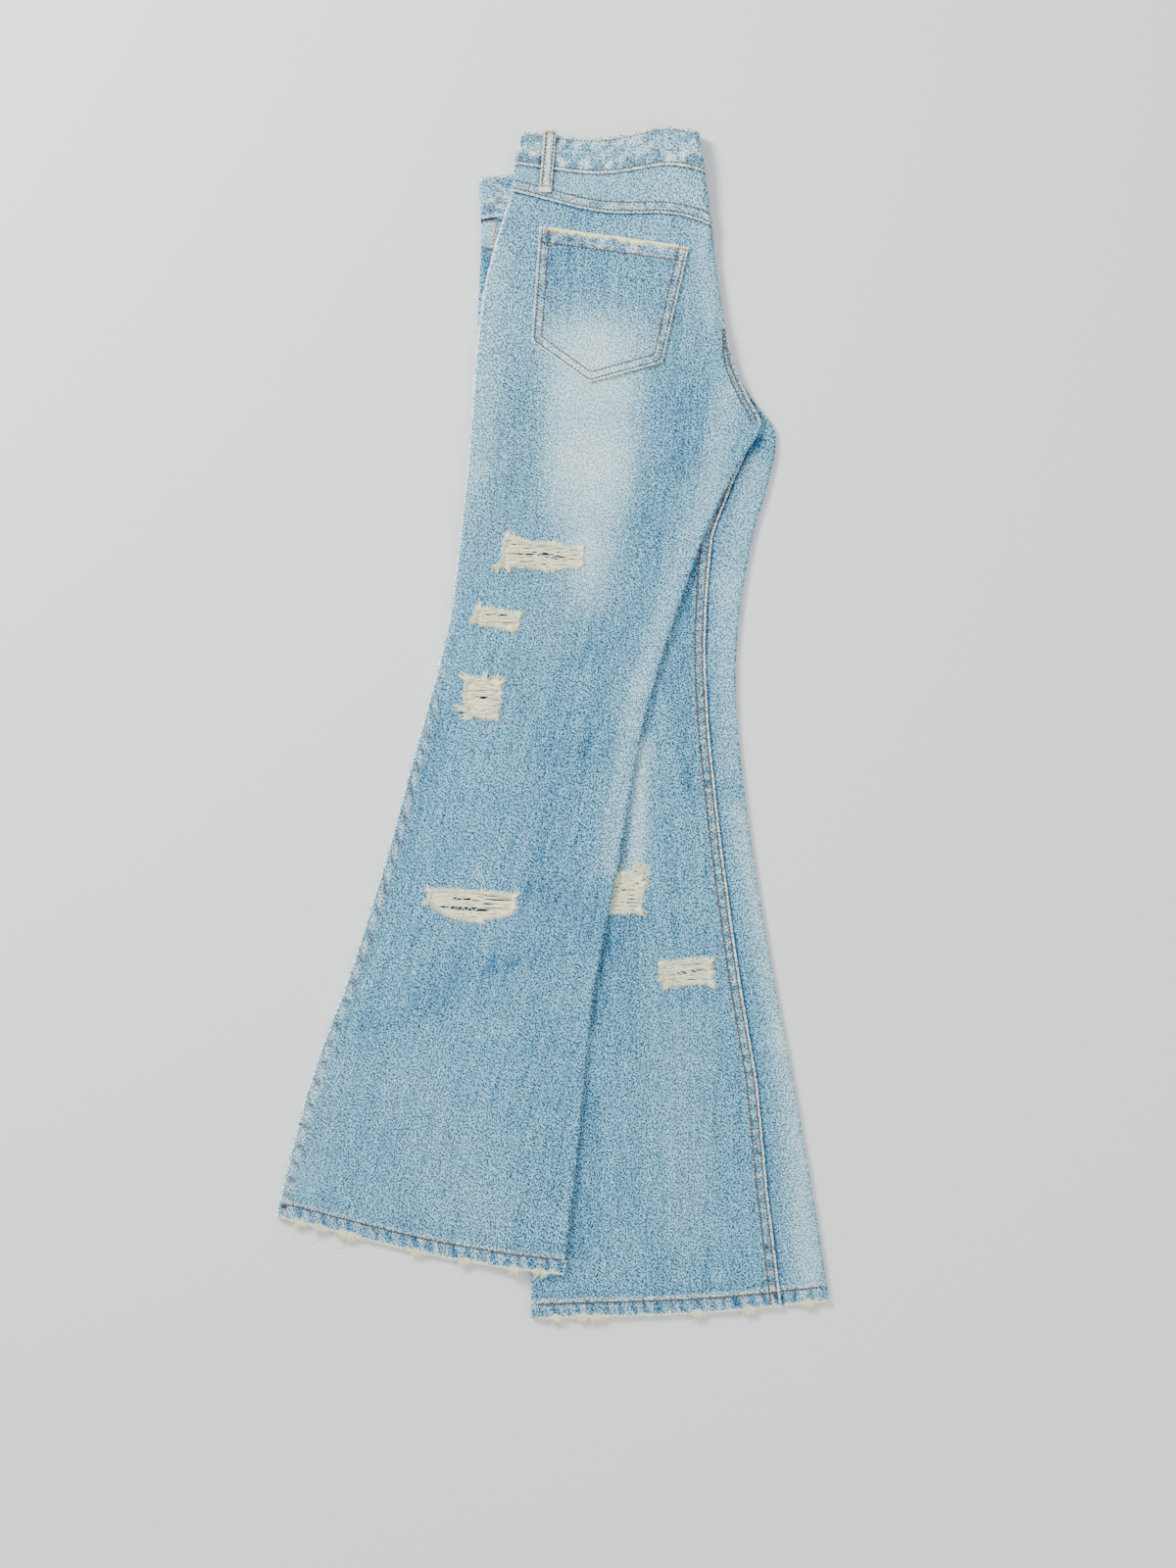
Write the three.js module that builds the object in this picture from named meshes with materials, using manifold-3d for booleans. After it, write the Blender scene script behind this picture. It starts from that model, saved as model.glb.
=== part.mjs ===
import * as THREE from 'three';
import { mergeVertices } from 'three/addons/utils/BufferGeometryUtils.js';
import Module from 'manifold-3d';

// Ripped flared jeans, folded in half along the centre back and laid flat, back outside.
// Millimetres. +Z up, +Y towards the waist, +X towards the centre-back fold.
// The wearer's right half lies below with its front up, the left half on it with its back up.

const DENIM = 1.5;             // wall of one layer of denim
const BAND = 2.6;              // wall of the waistband, two layers sewn together
const SEAM_GAP = 0.3;          // parts two pieces at a seam
const LAY_GAP = 0.6;           // parts two layers that lie on each other
const POCKET_CLOTH = 1.2;      // wall of a back pocket
const LOOP_CLOTH = 1.2;        // wall of a belt loop
const PITCH_BAND = 3.1;        // from layer to layer inside the waistband
const PITCH_LEG = 2.1;         // from layer to layer down the legs
const FOLD_LOFT = 1.5;         // how much a leg's folded edge stands over its middle
const LOFT_REACH = 30;         // how far that loft reaches in from the edge
const HEM_DEPTH = 15;          // turned hem
const HEM_EXTRA = 0.8;         // more thickness at the turned hem
const STEP_START = 14;         // the upper leg leaves the lower one this far past its edge
const STEP_REACH = 52;         // and is down on the floor after this much more
const OUTSEAM_RETURN = [15, 3.6];   // back panel turned under to the outseam, at the waist and from the knee
const UPPER_INSEAM_RETURN = 20;     // left back panel turned under to the inseam
const FLY_INSET = 9;           // centre front lies this far inside the centre-back fold
const BUTTON = { radius: 8.5, height: 2, station: 0.5, inset: 26 };   // on the right front end
const BUTTON_LIFT = { flat: 12, reach: 42 };   // the layers over the button are raised this far out from it
const CENTRE_Y = 0.6;          // middle of the jeans' length in the outlines' own y

// Stations run down the garment: 0 waist, 1 waistband seam, 2 yoke seam, 7 crotch, 17 hem.
const BAND_SEAM = 1;
const YOKE_SEAM = 2;
const CROTCH = 7;
const HEM = 17;

// Each row is one station of the half as it lies: outer edge x, y and fold or inseam edge x, y.
const UPPER = outline([
  [-27, 556, 137, 556], [-35, 525, 143, 517], [-38, 500, 149, 468], [-53, 452, 154, 425],
  [-64, 407, 160, 386], [-71, 352, 170, 340], [-75, 305, 184, 307], [-77, 272, 195, 280],
  [-81, 228, 174, 243], [-88, 165, 144, 183], [-97, 100, 118, 110], [-112, 37, 97, 45],
  [-132, -35, 78, -32], [-158, -130, 60, -138], [-190, -232, 41, -235], [-222, -318, 30, -325],
  [-246, -402, 22, -410], [-260, -464, 10, -517],
]);
const LOWER = outline([
  [-68, 515, 137, 556], [-67, 475, 143, 517], [-67, 447, 149, 468], [-69, 405, 154, 425],
  [-70, 365, 160, 386], [-72, 325, 170, 340], [-72, 292, 186, 308], [-71, 262, 209, 274],
  [-67, 222, 202, 226], [-60, 170, 188, 178], [-50, 100, 175, 100], [-41, 22, 172, 25],
  [-33, -58, 179, -56], [-28, -148, 192, -148], [-25, -241, 208, -241], [-22, -335, 226, -336],
  [-20, -440, 244, -440], [-19, -560, 260, -543],
]);

// A row isn't quite straight: the waist dips and then rises towards the fold, and each hem sags.
const WAIST_WAVE = 5.3;
const WAVE_FADES = [1.5, 5];
const HEM_SAG = { upper: 7.4, lower: 4.4, starts: 14 };

// Right back panel turned up to the inseam ridge, one width for each station from the crotch to the hem.
const LOWER_INSEAM_RETURN = [22, 33, 37, 30, 26, 26, 28, 31, 33, 41, 44];

// Soft folds that stand on the upper leg: from x, y to x, y, half width and height.
const SOFT_FOLDS = [
  [-85, -262, 35, -205, 20, 1.8],
  [40, 236, 178, 268, 15, 1.6],
  [-70, 330, -8, 262, 16, 1.4],
  [-195, -330, -110, -372, 22, 1.6],
  [60, 60, 20, -60, 20, 1.2],
];

// Back pocket as sewn on the left back: top corners, lower corners and the point between them.
const POCKET = {
  topLeft: [-12, 467], topRight: [128, 448], right: [103, 340], tip: [34, 321], left: [-20, 360],
};
const POCKET_TIP_SHARE = 0.44;       // how far across the pocket its point lies
const POCKET_LAY = 0.6;              // how far the left pocket stands off its panel
const HIP_LIFT = { left: 0.1, right: 0.95, band: 1.9, bottom: 6 };   // held up by the right pocket and loop

// Slits worn right through the cloth: middle x, y, length, width and turn in degrees.
const LEFT_BACK_SLITS = [
  [-8, 153, 50, 6, -13], [-64, 25, 21, 4.6, -6], [-82, -164, 46, 5, -4], [-85, -174, 32, 4.6, -5],
];
const RIGHT_FRONT_SLITS = [[126, -235, 24, 7, 4], [72, -158, 26, 5, -8]];

// Belt loop on the left back: middle of its top end, width, top and foot, and how far its foot leans out
const LOOP = { x: -2, width: 11.5, top: 557, foot: 499, lean: 5 };

const { lerp, smoothstep, degToRad } = THREE.MathUtils;
const buttonLine = sectionLine(LOWER, BUTTON.station);
const buttonPlace = planPoint(buttonLine, buttonLine.length - BUTTON.inset);
const wasm = await Module();
wasm.setup();

function outline(rows) {
  const edge = (column) => new THREE.CatmullRomCurve3(
    rows.map((row) => new THREE.Vector3(row[column], row[column + 1], 0)), false, 'catmullrom', 0.5);
  return { outer: edge(0), fold: edge(2) };
}

// The straight line across a half at one station, and its length
function sectionLine(half, station) {
  const share = station / HEM;
  const start = half.outer.getPoint(share);
  const end = half.fold.getPoint(share);
  return { half, station, start, end, length: start.distanceTo(end) };
}

// How far a row's curve stands above its straight line, at a share of the way across
function bow(half, station, share) {
  const inside = THREE.MathUtils.clamp(share, 0, 1);
  const wave = WAIST_WAVE * (1 - smoothstep(station, WAVE_FADES[0], WAVE_FADES[1]));
  const sag = (half === UPPER ? HEM_SAG.upper : HEM_SAG.lower) * smoothstep(station, HEM_SAG.starts, HEM);
  return -wave * Math.sin(2 * Math.PI * inside ** 1.5) - sag * Math.sin(Math.PI * inside ** 1.2);
}

// Plan point at a distance in from the outer edge
function planPoint(line, inward) {
  const share = inward / line.length;
  const point = line.start.clone().lerp(line.end, share);
  point.y += bow(line.half, line.station, share);
  return point;
}

// The station and distance from the outer edge at which a plan point lies
function locate(half, x, y) {
  let above = 0;
  let below = HEM;
  for (let step = 0; step < 26; step += 1) {
    const middle = (above + below) / 2;
    const line = sectionLine(half, middle);
    const share = (x - line.start.x) / (line.end.x - line.start.x);
    if (lerp(line.start.y, line.end.y, share) + bow(half, middle, share) > y) above = middle;
    else below = middle;
  }
  const station = (above + below) / 2;
  const line = sectionLine(half, station);
  const share = (x - line.start.x) / (line.end.x - line.start.x);
  return { station, inward: share * line.length, length: line.length };
}

// Half the wall at a station: the waistband's, easing to the denim's in the yoke
function halfWall(station) {
  return lerp(BAND, DENIM, smoothstep(station, BAND_SEAM, 1.8)) / 2;
}

// Spacing from layer to layer: wide in the waistband, closer from the yoke down
function pitch(station) {
  return lerp(PITCH_BAND, PITCH_LEG, smoothstep(station, BAND_SEAM, 3.2));
}

// How far the layers have parted below the crotch, where each leg closes on itself
function legShare(station) {
  return smoothstep(station, 6.3, 7.2);
}

function loft(distance) {
  return FOLD_LOFT * (1 - smoothstep(distance, 0, LOFT_REACH));
}

// The right back pocket and belt loop lie underneath and hold the right back off the floor
function hipLift(station, share) {
  const pocketWide = smoothstep(share, HIP_LIFT.left - 0.1, HIP_LIFT.left)
    * (1 - smoothstep(share, HIP_LIFT.right, 1));
  const aboveYokeSeam = 1 - smoothstep(station, HIP_LIFT.band, HIP_LIFT.band + 0.6);
  const abovePocketFoot = 1 - smoothstep(station, HIP_LIFT.bottom, HIP_LIFT.bottom + 0.7);
  return (POCKET_CLOTH + SEAM_GAP) * Math.max(pocketWide, aboveYokeSeam) * abovePocketFoot;
}

// Middle of the right back panel, the lowest layer
function rightBackLevel(station, share) {
  return halfWall(station) + hipLift(station, THREE.MathUtils.clamp(share, 0, 1));
}

// The layers over the waist button are raised by it
function buttonLift(x, y) {
  const away = Math.hypot(x - buttonPlace.x, y - buttonPlace.y);
  return BUTTON.height * (1 - smoothstep(away, BUTTON_LIFT.flat, BUTTON_LIFT.reach));
}

function rightFrontLevel(station, inward, length) {
  const outer = loft(inward);
  const inner = loft(length - inward) * legShare(station);
  return rightBackLevel(station, inward / length) + pitch(station) + Math.max(outer, inner);
}

// Height that the upper half lies on: the lower half's top, then down to the floor past its outer edge
function baseLevel(x, y) {
  const place = locate(LOWER, x, y);
  const inward = THREE.MathUtils.clamp(place.inward, 0, place.length);
  const top = rightFrontLevel(place.station, inward, place.length) + halfWall(place.station) + LAY_GAP;
  const past = -place.inward;
  const stays = 1 - smoothstep(place.station, 5, 8);
  const drop = smoothstep(past, STEP_START, STEP_START + STEP_REACH) * (1 - stays);
  return (top + buttonLift(x, y)) * (1 - drop);
}

function leftFrontLevel(station, plan) {
  return baseLevel(plan.x, plan.y) + halfWall(station);
}

function softFolds(x, y) {
  let height = 0;
  for (const [x0, y0, x1, y1, halfWidth, rise] of SOFT_FOLDS) {
    const along = ((x - x0) * (x1 - x0) + (y - y0) * (y1 - y0)) / ((x1 - x0) ** 2 + (y1 - y0) ** 2);
    const nearest = THREE.MathUtils.clamp(along, 0.15, 0.85);
    const away = Math.hypot(x - lerp(x0, x1, nearest), y - lerp(y0, y1, nearest));
    height += rise * Math.exp(-((away / halfWidth) ** 2));
  }
  return height;
}

function leftBackLevel(station, plan, inward, length) {
  const edges = Math.max(loft(inward), loft(length - inward));
  return leftFrontLevel(station, plan) + pitch(station) + edges + softFolds(plan.x, plan.y);
}

function insetReturn(half, station) {
  if (half === UPPER) return UPPER_INSEAM_RETURN;
  const place = THREE.MathUtils.clamp(station - CROTCH, 0, LOWER_INSEAM_RETURN.length - 1.001);
  const row = Math.floor(place);
  return lerp(LOWER_INSEAM_RETURN[row], LOWER_INSEAM_RETURN[row + 1], place - row);
}

function outseamReturn(station) {
  return lerp(OUTSEAM_RETURN[0], OUTSEAM_RETURN[1], smoothstep(station, 2, 12));
}

// The two layers of a half at a station: the back panel's flat side and the front panel's level
function levels(half, station, inward) {
  const line = sectionLine(half, station);
  const plan = planPoint(line, THREE.MathUtils.clamp(inward, 0, line.length));
  if (half === UPPER) {
    return { back: leftBackLevel(station, plan, inward, line.length), front: leftFrontLevel(station, plan) };
  }
  return {
    back: rightBackLevel(station, inward / line.length),
    front: rightFrontLevel(station, inward, line.length),
  };
}

// The height at which a back panel's fold at the centre back or inseam ends
function foldEnd(half, station) {
  const line = sectionLine(half, station);
  const own = levels(half, station, line.length);
  const rightBack = rightBackLevel(station, 1);
  const leftBack = levels(UPPER, station, sectionLine(UPPER, station).length).back;
  const middle = (rightBack + leftBack) / 2;
  const seamSide = half === UPPER ? SEAM_GAP / 2 : -SEAM_GAP / 2;
  return lerp(middle + seamSide, own.front, smoothstep(station, 6, 6.8));
}

// Columns across a back panel: turned return, fold, flat, fold, return
const backZones = (flat) => [
  ['outerReturn', 1], ['outerFold', 3], ['flat', flat], ['innerFold', 4], ['innerReturn', 3],
];
const LEFT_BACK_ZONES = backZones(20);
const RIGHT_BACK_ZONES = backZones(10);

function zoneAt(zones, column) {
  let first = 0;
  for (const [zone, count] of zones) {
    if (column <= first + count) return { zone, share: (column - first) / count };
    first += count;
  }
  throw new Error('column past the last zone');
}

function columnCount(zones) {
  return zones.reduce((sum, [, count]) => sum + count, 0);
}

// Middle of a back panel's wall and its way out, at one column of one station
function backPanel(half, station, column, zones) {
  const { zone, share } = zoneAt(zones, column);
  const line = sectionLine(half, station);
  const facing = half === UPPER ? 1 : -1;
  const outer = levels(half, station, 0);
  const outerRadius = Math.abs(outer.back - outer.front) / 2;
  const inner = levels(half, station, line.length);
  const turn = lerp(Math.PI / 2, Math.PI, legShare(station));
  const innerEnd = foldEnd(half, station);
  const innerRadius = Math.abs(inner.back - innerEnd) / (1 - Math.cos(turn));
  const returned = legShare(station) * Math.max(0, insetReturn(half, station) - innerRadius);
  const underInner = innerRadius * Math.sin(turn);
  let inward;
  let height;
  let away = new THREE.Vector2(0, facing);
  if (zone === 'outerReturn') {
    inward = lerp(Math.max(outseamReturn(station), outerRadius + 1), outerRadius, share);
    height = lerp(levels(half, station, inward).front, outer.front, share);
    away = new THREE.Vector2(0, -facing);
  } else if (zone === 'outerFold') {
    const angle = share * Math.PI;
    inward = outerRadius * (1 - Math.sin(angle));
    height = (outer.back + outer.front) / 2 - facing * outerRadius * Math.cos(angle);
    away = new THREE.Vector2(-Math.sin(angle), -facing * Math.cos(angle));
  } else if (zone === 'flat') {
    inward = lerp(outerRadius, line.length - innerRadius, share);
    height = levels(half, station, inward).back;
  } else if (zone === 'innerFold') {
    const angle = share * turn;
    inward = line.length - innerRadius * (1 - Math.sin(angle));
    height = inner.back - facing * innerRadius * (1 - Math.cos(angle));
    away = new THREE.Vector2(Math.sin(angle), facing * Math.cos(angle));
  } else {
    inward = line.length - innerRadius + underInner - share * returned;
    height = innerEnd + legShare(station) * (levels(half, station, inward).front - inner.front);
    away = new THREE.Vector2(Math.sin(turn), facing * Math.cos(turn));
  }
  const plan = planPoint(line, inward);
  const across = line.end.clone().sub(line.start).normalize();
  return {
    point: new THREE.Vector3(plan.x, plan.y, height),
    out: new THREE.Vector3(across.x * away.x, across.y * away.x, away.y),
  };
}

// Middle of a front panel's wall: a flat layer between its two seams
function frontPanel(half, station, share) {
  const line = sectionLine(half, station);
  const outer = levels(half, station, 0);
  const outerStart = Math.max(outseamReturn(station), Math.abs(outer.back - outer.front) / 2 + 1) + SEAM_GAP;
  const innerStart = lerp(FLY_INSET, insetReturn(half, station) + SEAM_GAP, legShare(station));
  const inward = lerp(outerStart, line.length - innerStart, share);
  const plan = planPoint(line, inward);
  const facing = half === UPPER ? -1 : 1;
  return {
    point: new THREE.Vector3(plan.x, plan.y, levels(half, station, inward).front),
    out: new THREE.Vector3(0, 0, facing),
  };
}

// Only positions are kept, so that corners that meet are one
function joined(geometry) {
  geometry.deleteAttribute('normal');
  geometry.deleteAttribute('uv');
  return mergeVertices(geometry);
}

// A wall of cloth: a box whose two broad faces follow a surface, a grid of columns and rows
function clothWall(columns, rows, surface, thickness) {
  const geometry = joined(new THREE.BoxGeometry(columns, rows, 1, columns, rows, 1));
  const position = geometry.attributes.position;
  for (let vertex = 0; vertex < position.count; vertex += 1) {
    const column = Math.round(position.getX(vertex) + columns / 2);
    const row = Math.round(rows / 2 - position.getY(vertex));
    const side = Math.sign(position.getZ(vertex));
    const { point, out } = surface(column, row);
    const { inside, outside } = thickness(column, row);
    point.addScaledVector(out, side > 0 ? outside : -inside);
    position.setXYZ(vertex, point.x, point.y, point.z);
  }
  return faceOut(geometry);
}

// A surface that faces down turns the box inside out, so its triangles are reversed
function faceOut(geometry) {
  const position = geometry.attributes.position;
  const index = geometry.index;
  const corners = [new THREE.Vector3(), new THREE.Vector3(), new THREE.Vector3()];
  let volume = 0;
  for (let face = 0; face < index.count; face += 3) {
    corners.forEach((corner, place) => corner.fromBufferAttribute(position, index.getX(face + place)));
    volume += corners[0].dot(corners[1].clone().cross(corners[2]));
  }
  if (volume < 0) {
    for (let face = 0; face < index.count; face += 3) {
      const second = index.getX(face + 1);
      index.setX(face + 1, index.getX(face + 2));
      index.setX(face + 2, second);
    }
  }
  return geometry;
}

function even(cloth) {
  return () => ({ inside: cloth / 2, outside: cloth / 2 });
}

// Stations of the rows, evenly spread, with half a seam gap left at each end
function rowStations(from, to, count) {
  const trim = SEAM_GAP / 2 / 30;
  const stations = [];
  for (let row = 0; row <= count; row += 1) stations.push(lerp(from + trim, to - trim, row / count));
  return stations;
}

// Rows of a leg panel: even down to the hem, then a close pair at the hem's stitching
const YOKE_ROWS = rowStations(BAND_SEAM, YOKE_SEAM, 4);
const HEM_STITCHING = HEM - HEM_DEPTH / 90;
const BACK_ROWS = [...rowStations(YOKE_SEAM, HEM_STITCHING - 0.03, 32), HEM_STITCHING, HEM];
const FRONT_ROWS = [...YOKE_ROWS, ...BACK_ROWS];

// The turned hem is thicker on its outer face, on the columns that lie flat and up
function hemWall(rows, liesFlat) {
  return (column, row) => {
    const extra = row >= rows.length - 2 && liesFlat(column) ? HEM_EXTRA : 0;
    return { inside: DENIM / 2, outside: DENIM / 2 + extra };
  };
}

function toManifold(geometry) {
  const position = geometry.attributes.position;
  const vertProperties = new Float32Array(position.array);
  const triVerts = new Uint32Array(geometry.index.array);
  return new wasm.Manifold(new wasm.Mesh({ numProp: 3, vertProperties, triVerts }));
}

function toGeometry(solid) {
  const mesh = solid.getMesh();
  const geometry = new THREE.BufferGeometry();
  geometry.setAttribute('position', new THREE.BufferAttribute(mesh.vertProperties, 3));
  geometry.setIndex(new THREE.BufferAttribute(mesh.triVerts, 1));
  return geometry;
}

// A lens-shaped blade that opens a slit through one layer
function slitBlade([x, y, length, width, turn]) {
  const lens = new THREE.Shape();
  lens.moveTo(-length / 2, 0);
  lens.quadraticCurveTo(0, -width, length / 2, 0);
  lens.quadraticCurveTo(0, width, -length / 2, 0);
  const blade = new THREE.ExtrudeGeometry(lens, { depth: 40, bevelEnabled: false, curveSegments: 6 });
  blade.rotateZ(degToRad(turn));
  blade.translate(x, y, -10);
  return faceOut(joined(blade));
}

function cutSlits(geometry, slits) {
  let solid = toManifold(geometry);
  for (const slit of slits) solid = solid.subtract(toManifold(slitBlade(slit)));
  return toGeometry(solid);
}

function legBack(half, zones) {
  const surface = (column, row) => backPanel(half, BACK_ROWS[row], column, zones);
  const liesFlat = (column) => half === UPPER && zoneAt(zones, column).zone === 'flat';
  return clothWall(columnCount(zones), BACK_ROWS.length - 1, surface, hemWall(BACK_ROWS, liesFlat));
}

function legFront(half, columns) {
  const surface = (column, row) => frontPanel(half, FRONT_ROWS[row], column / columns);
  return clothWall(columns, FRONT_ROWS.length - 1, surface, hemWall(FRONT_ROWS, () => half === LOWER));
}

function yoke(half, zones) {
  const surface = (column, row) => backPanel(half, YOKE_ROWS[row], column, zones);
  return clothWall(columnCount(zones), YOKE_ROWS.length - 1, surface, even(DENIM));
}

// The waistband is one strip: left front, round the side, left back, round the centre back, right back,
// round the other side, right front. Each stretch is a half, a way across and its columns.
const BAND_FRONT = 12;
const BAND_BACK = 14;
const BAND_FOLD = 5;

function waistbandPoint(station, column) {
  const upperEnd = BAND_FRONT + BAND_FOLD + BAND_BACK;
  const total = 2 * (upperEnd + BAND_FOLD);
  const upperSide = column <= total / 2;
  const half = upperSide ? UPPER : LOWER;
  const place = upperSide ? column : total - column;
  const line = sectionLine(half, station);
  const outer = levels(half, station, 0);
  const facing = upperSide ? 1 : -1;
  const radius = Math.abs(outer.back - outer.front) / 2;
  const innerBack = levels(half, station, line.length).back;
  const upperBack = levels(UPPER, station, sectionLine(UPPER, station).length).back;
  const lowerBack = rightBackLevel(station, 1);
  const foldRadius = (upperBack - lowerBack) / 2;
  let inward;
  let height;
  let away = new THREE.Vector2(0, facing);
  if (place < BAND_FRONT) {
    inward = lerp(line.length - FLY_INSET, radius, place / BAND_FRONT);
    height = levels(half, station, inward).front;
    away = new THREE.Vector2(0, -facing);
  } else if (place < BAND_FRONT + BAND_FOLD) {
    const angle = Math.PI * (place - BAND_FRONT) / BAND_FOLD;
    inward = radius * (1 - Math.sin(angle));
    height = (outer.back + outer.front) / 2 - facing * radius * Math.cos(angle);
    away = new THREE.Vector2(-Math.sin(angle), -facing * Math.cos(angle));
  } else if (place <= upperEnd) {
    inward = lerp(radius, line.length - foldRadius, (place - BAND_FRONT - BAND_FOLD) / BAND_BACK);
    height = levels(half, station, inward).back;
  } else {
    const angle = (Math.PI / 2) * (place - upperEnd) / BAND_FOLD;
    inward = line.length - foldRadius * (1 - Math.sin(angle));
    height = innerBack - facing * foldRadius * (1 - Math.cos(angle));
    away = new THREE.Vector2(Math.sin(angle), facing * Math.cos(angle));
  }
  const plan = planPoint(line, inward);
  const across = line.end.clone().sub(line.start).normalize();
  return {
    point: new THREE.Vector3(plan.x, plan.y, height),
    out: new THREE.Vector3(across.x * away.x, across.y * away.x, away.y),
  };
}

function waistband() {
  const stations = rowStations(0, BAND_SEAM, 3);
  const columns = 2 * (BAND_FRONT + BAND_BACK + 2 * BAND_FOLD);
  const surface = (column, row) => waistbandPoint(stations[row], column);
  return clothWall(columns, stations.length - 1, surface, even(BAND));
}

// Plan point of the pocket at shares across and down, between straight sides and a pointed foot
function pocketPlan(across, down) {
  const [top0, top1] = [POCKET.topLeft, POCKET.topRight];
  const foot = across < POCKET_TIP_SHARE
    ? [POCKET.left, POCKET.tip, across / POCKET_TIP_SHARE]
    : [POCKET.tip, POCKET.right, (across - POCKET_TIP_SHARE) / (1 - POCKET_TIP_SHARE)];
  const [foot0, foot1, share] = foot;
  const low = [lerp(foot0[0], foot1[0], share), lerp(foot0[1], foot1[1], share)];
  const high = [lerp(top0[0], top1[0], across), lerp(top0[1], top1[1], across)];
  return new THREE.Vector2(lerp(high[0], low[0], down), lerp(high[1], low[1], down));
}

const POCKET_COLUMNS = 9;
const POCKET_ROWS = 8;

// Shares across the pocket, with one column on its point
function pocketShare(column) {
  const tipColumn = 4;
  if (column <= tipColumn) return POCKET_TIP_SHARE * column / tipColumn;
  return lerp(POCKET_TIP_SHARE, 1, (column - tipColumn) / (POCKET_COLUMNS - tipColumn));
}

function leftPocket() {
  const surface = (column, row) => {
    const plan = pocketPlan(pocketShare(column), row / POCKET_ROWS);
    const place = locate(UPPER, plan.x, plan.y);
    const panel = leftBackLevel(place.station, plan, place.inward, place.length) + DENIM / 2;
    const point = new THREE.Vector3(plan.x, plan.y, panel + POCKET_LAY + POCKET_CLOTH / 2);
    return { point, out: new THREE.Vector3(0, 0, 1) };
  };
  return clothWall(POCKET_COLUMNS, POCKET_ROWS, surface, even(POCKET_CLOTH));
}

// The same pocket on the right back panel, found by the same station and share across
function rightPocket() {
  const surface = (column, row) => {
    const plan = pocketPlan(pocketShare(column), row / POCKET_ROWS);
    const under = twinPlace(plan.x, plan.y);
    return { point: new THREE.Vector3(under.x, under.y, POCKET_CLOTH / 2), out: new THREE.Vector3(0, 0, -1) };
  };
  return clothWall(POCKET_COLUMNS, POCKET_ROWS, surface, even(POCKET_CLOTH));
}

// Place on the lower half that has the same station and share across as a place on the upper one
function twinPlace(x, y) {
  const place = locate(UPPER, x, y);
  const line = sectionLine(LOWER, place.station);
  return planPoint(line, line.length * place.inward / place.length);
}

// The belt loop lies on the waistband and the yoke; its twin lies under the right back
const LOOP_ROWS = 10;

function loopPlan(column, row) {
  const down = row / LOOP_ROWS;
  const x = LOOP.x - LOOP.lean * down + (column - 1) * LOOP.width / 2;
  return new THREE.Vector2(x, lerp(LOOP.top, LOOP.foot, down));
}

function leftBeltLoop() {
  const surface = (column, row) => {
    const plan = loopPlan(column, row);
    const place = locate(UPPER, plan.x, plan.y);
    const panel = leftBackLevel(place.station, plan, place.inward, place.length) + halfWall(place.station);
    const point = new THREE.Vector3(plan.x, plan.y, panel + POCKET_LAY + LOOP_CLOTH / 2);
    return { point, out: new THREE.Vector3(0, 0, 1) };
  };
  return clothWall(2, LOOP_ROWS, surface, even(LOOP_CLOTH));
}

function rightBeltLoop() {
  const surface = (column, row) => {
    const middle = loopPlan(1, row);
    const under = twinPlace(middle.x, middle.y);
    const x = under.x + (column - 1) * LOOP.width / 2;
    return { point: new THREE.Vector3(x, under.y, LOOP_CLOTH / 2), out: new THREE.Vector3(0, 0, -1) };
  };
  return clothWall(2, LOOP_ROWS, surface, even(LOOP_CLOTH));
}

// The waist button stands on the right front end of the waistband, hidden in the fold
function waistButton() {
  const line = sectionLine(LOWER, BUTTON.station);
  const inward = line.length - BUTTON.inset;
  const band = rightFrontLevel(BUTTON.station, inward, line.length) + BAND / 2;
  const button = new THREE.CylinderGeometry(BUTTON.radius, BUTTON.radius, BUTTON.height, 24);
  button.rotateX(Math.PI / 2);
  button.translate(buttonPlace.x, buttonPlace.y, band + SEAM_GAP + BUTTON.height / 2);
  return joined(button);
}

const COLORS = {
  back: 0x8fb2c4, front: 0x93b3c2, yoke: 0xa5c4d2, band: 0xa3c0cc,
  pocket: 0x98b8ca, loop: 0x9dbac8, brass: 0x9a8a6a,
};

const jeans = new THREE.Group();

function add(name, geometry, color, metalness = 0) {
  geometry.translate(0, -CENTRE_Y, 0);
  const material = new THREE.MeshStandardMaterial({ color, roughness: metalness ? 0.45 : 0.95, metalness });
  const mesh = new THREE.Mesh(geometry, material);
  mesh.name = name;
  jeans.add(mesh);
}

add('right_back_leg', legBack(LOWER, RIGHT_BACK_ZONES), COLORS.back);
add('right_front_leg', cutSlits(legFront(LOWER, 14), RIGHT_FRONT_SLITS), COLORS.front);
add('left_front_leg', legFront(UPPER, 18), COLORS.front);
add('left_back_leg', cutSlits(legBack(UPPER, LEFT_BACK_ZONES), LEFT_BACK_SLITS), COLORS.back);
add('right_yoke', yoke(LOWER, RIGHT_BACK_ZONES), COLORS.yoke);
add('left_yoke', yoke(UPPER, LEFT_BACK_ZONES), COLORS.yoke);
add('waistband', waistband(), COLORS.band);
add('left_back_pocket', leftPocket(), COLORS.pocket);
add('right_back_pocket', rightPocket(), COLORS.pocket);
add('left_belt_loop', leftBeltLoop(), COLORS.loop);
add('right_belt_loop', rightBeltLoop(), COLORS.loop);
add('waist_button', waistButton(), COLORS.brass, 0.8);

export default jeans;
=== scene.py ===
import math
import random

import bmesh
import bpy
import numpy as np
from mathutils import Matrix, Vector, noise
from mathutils.bvhtree import BVHTree


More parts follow.
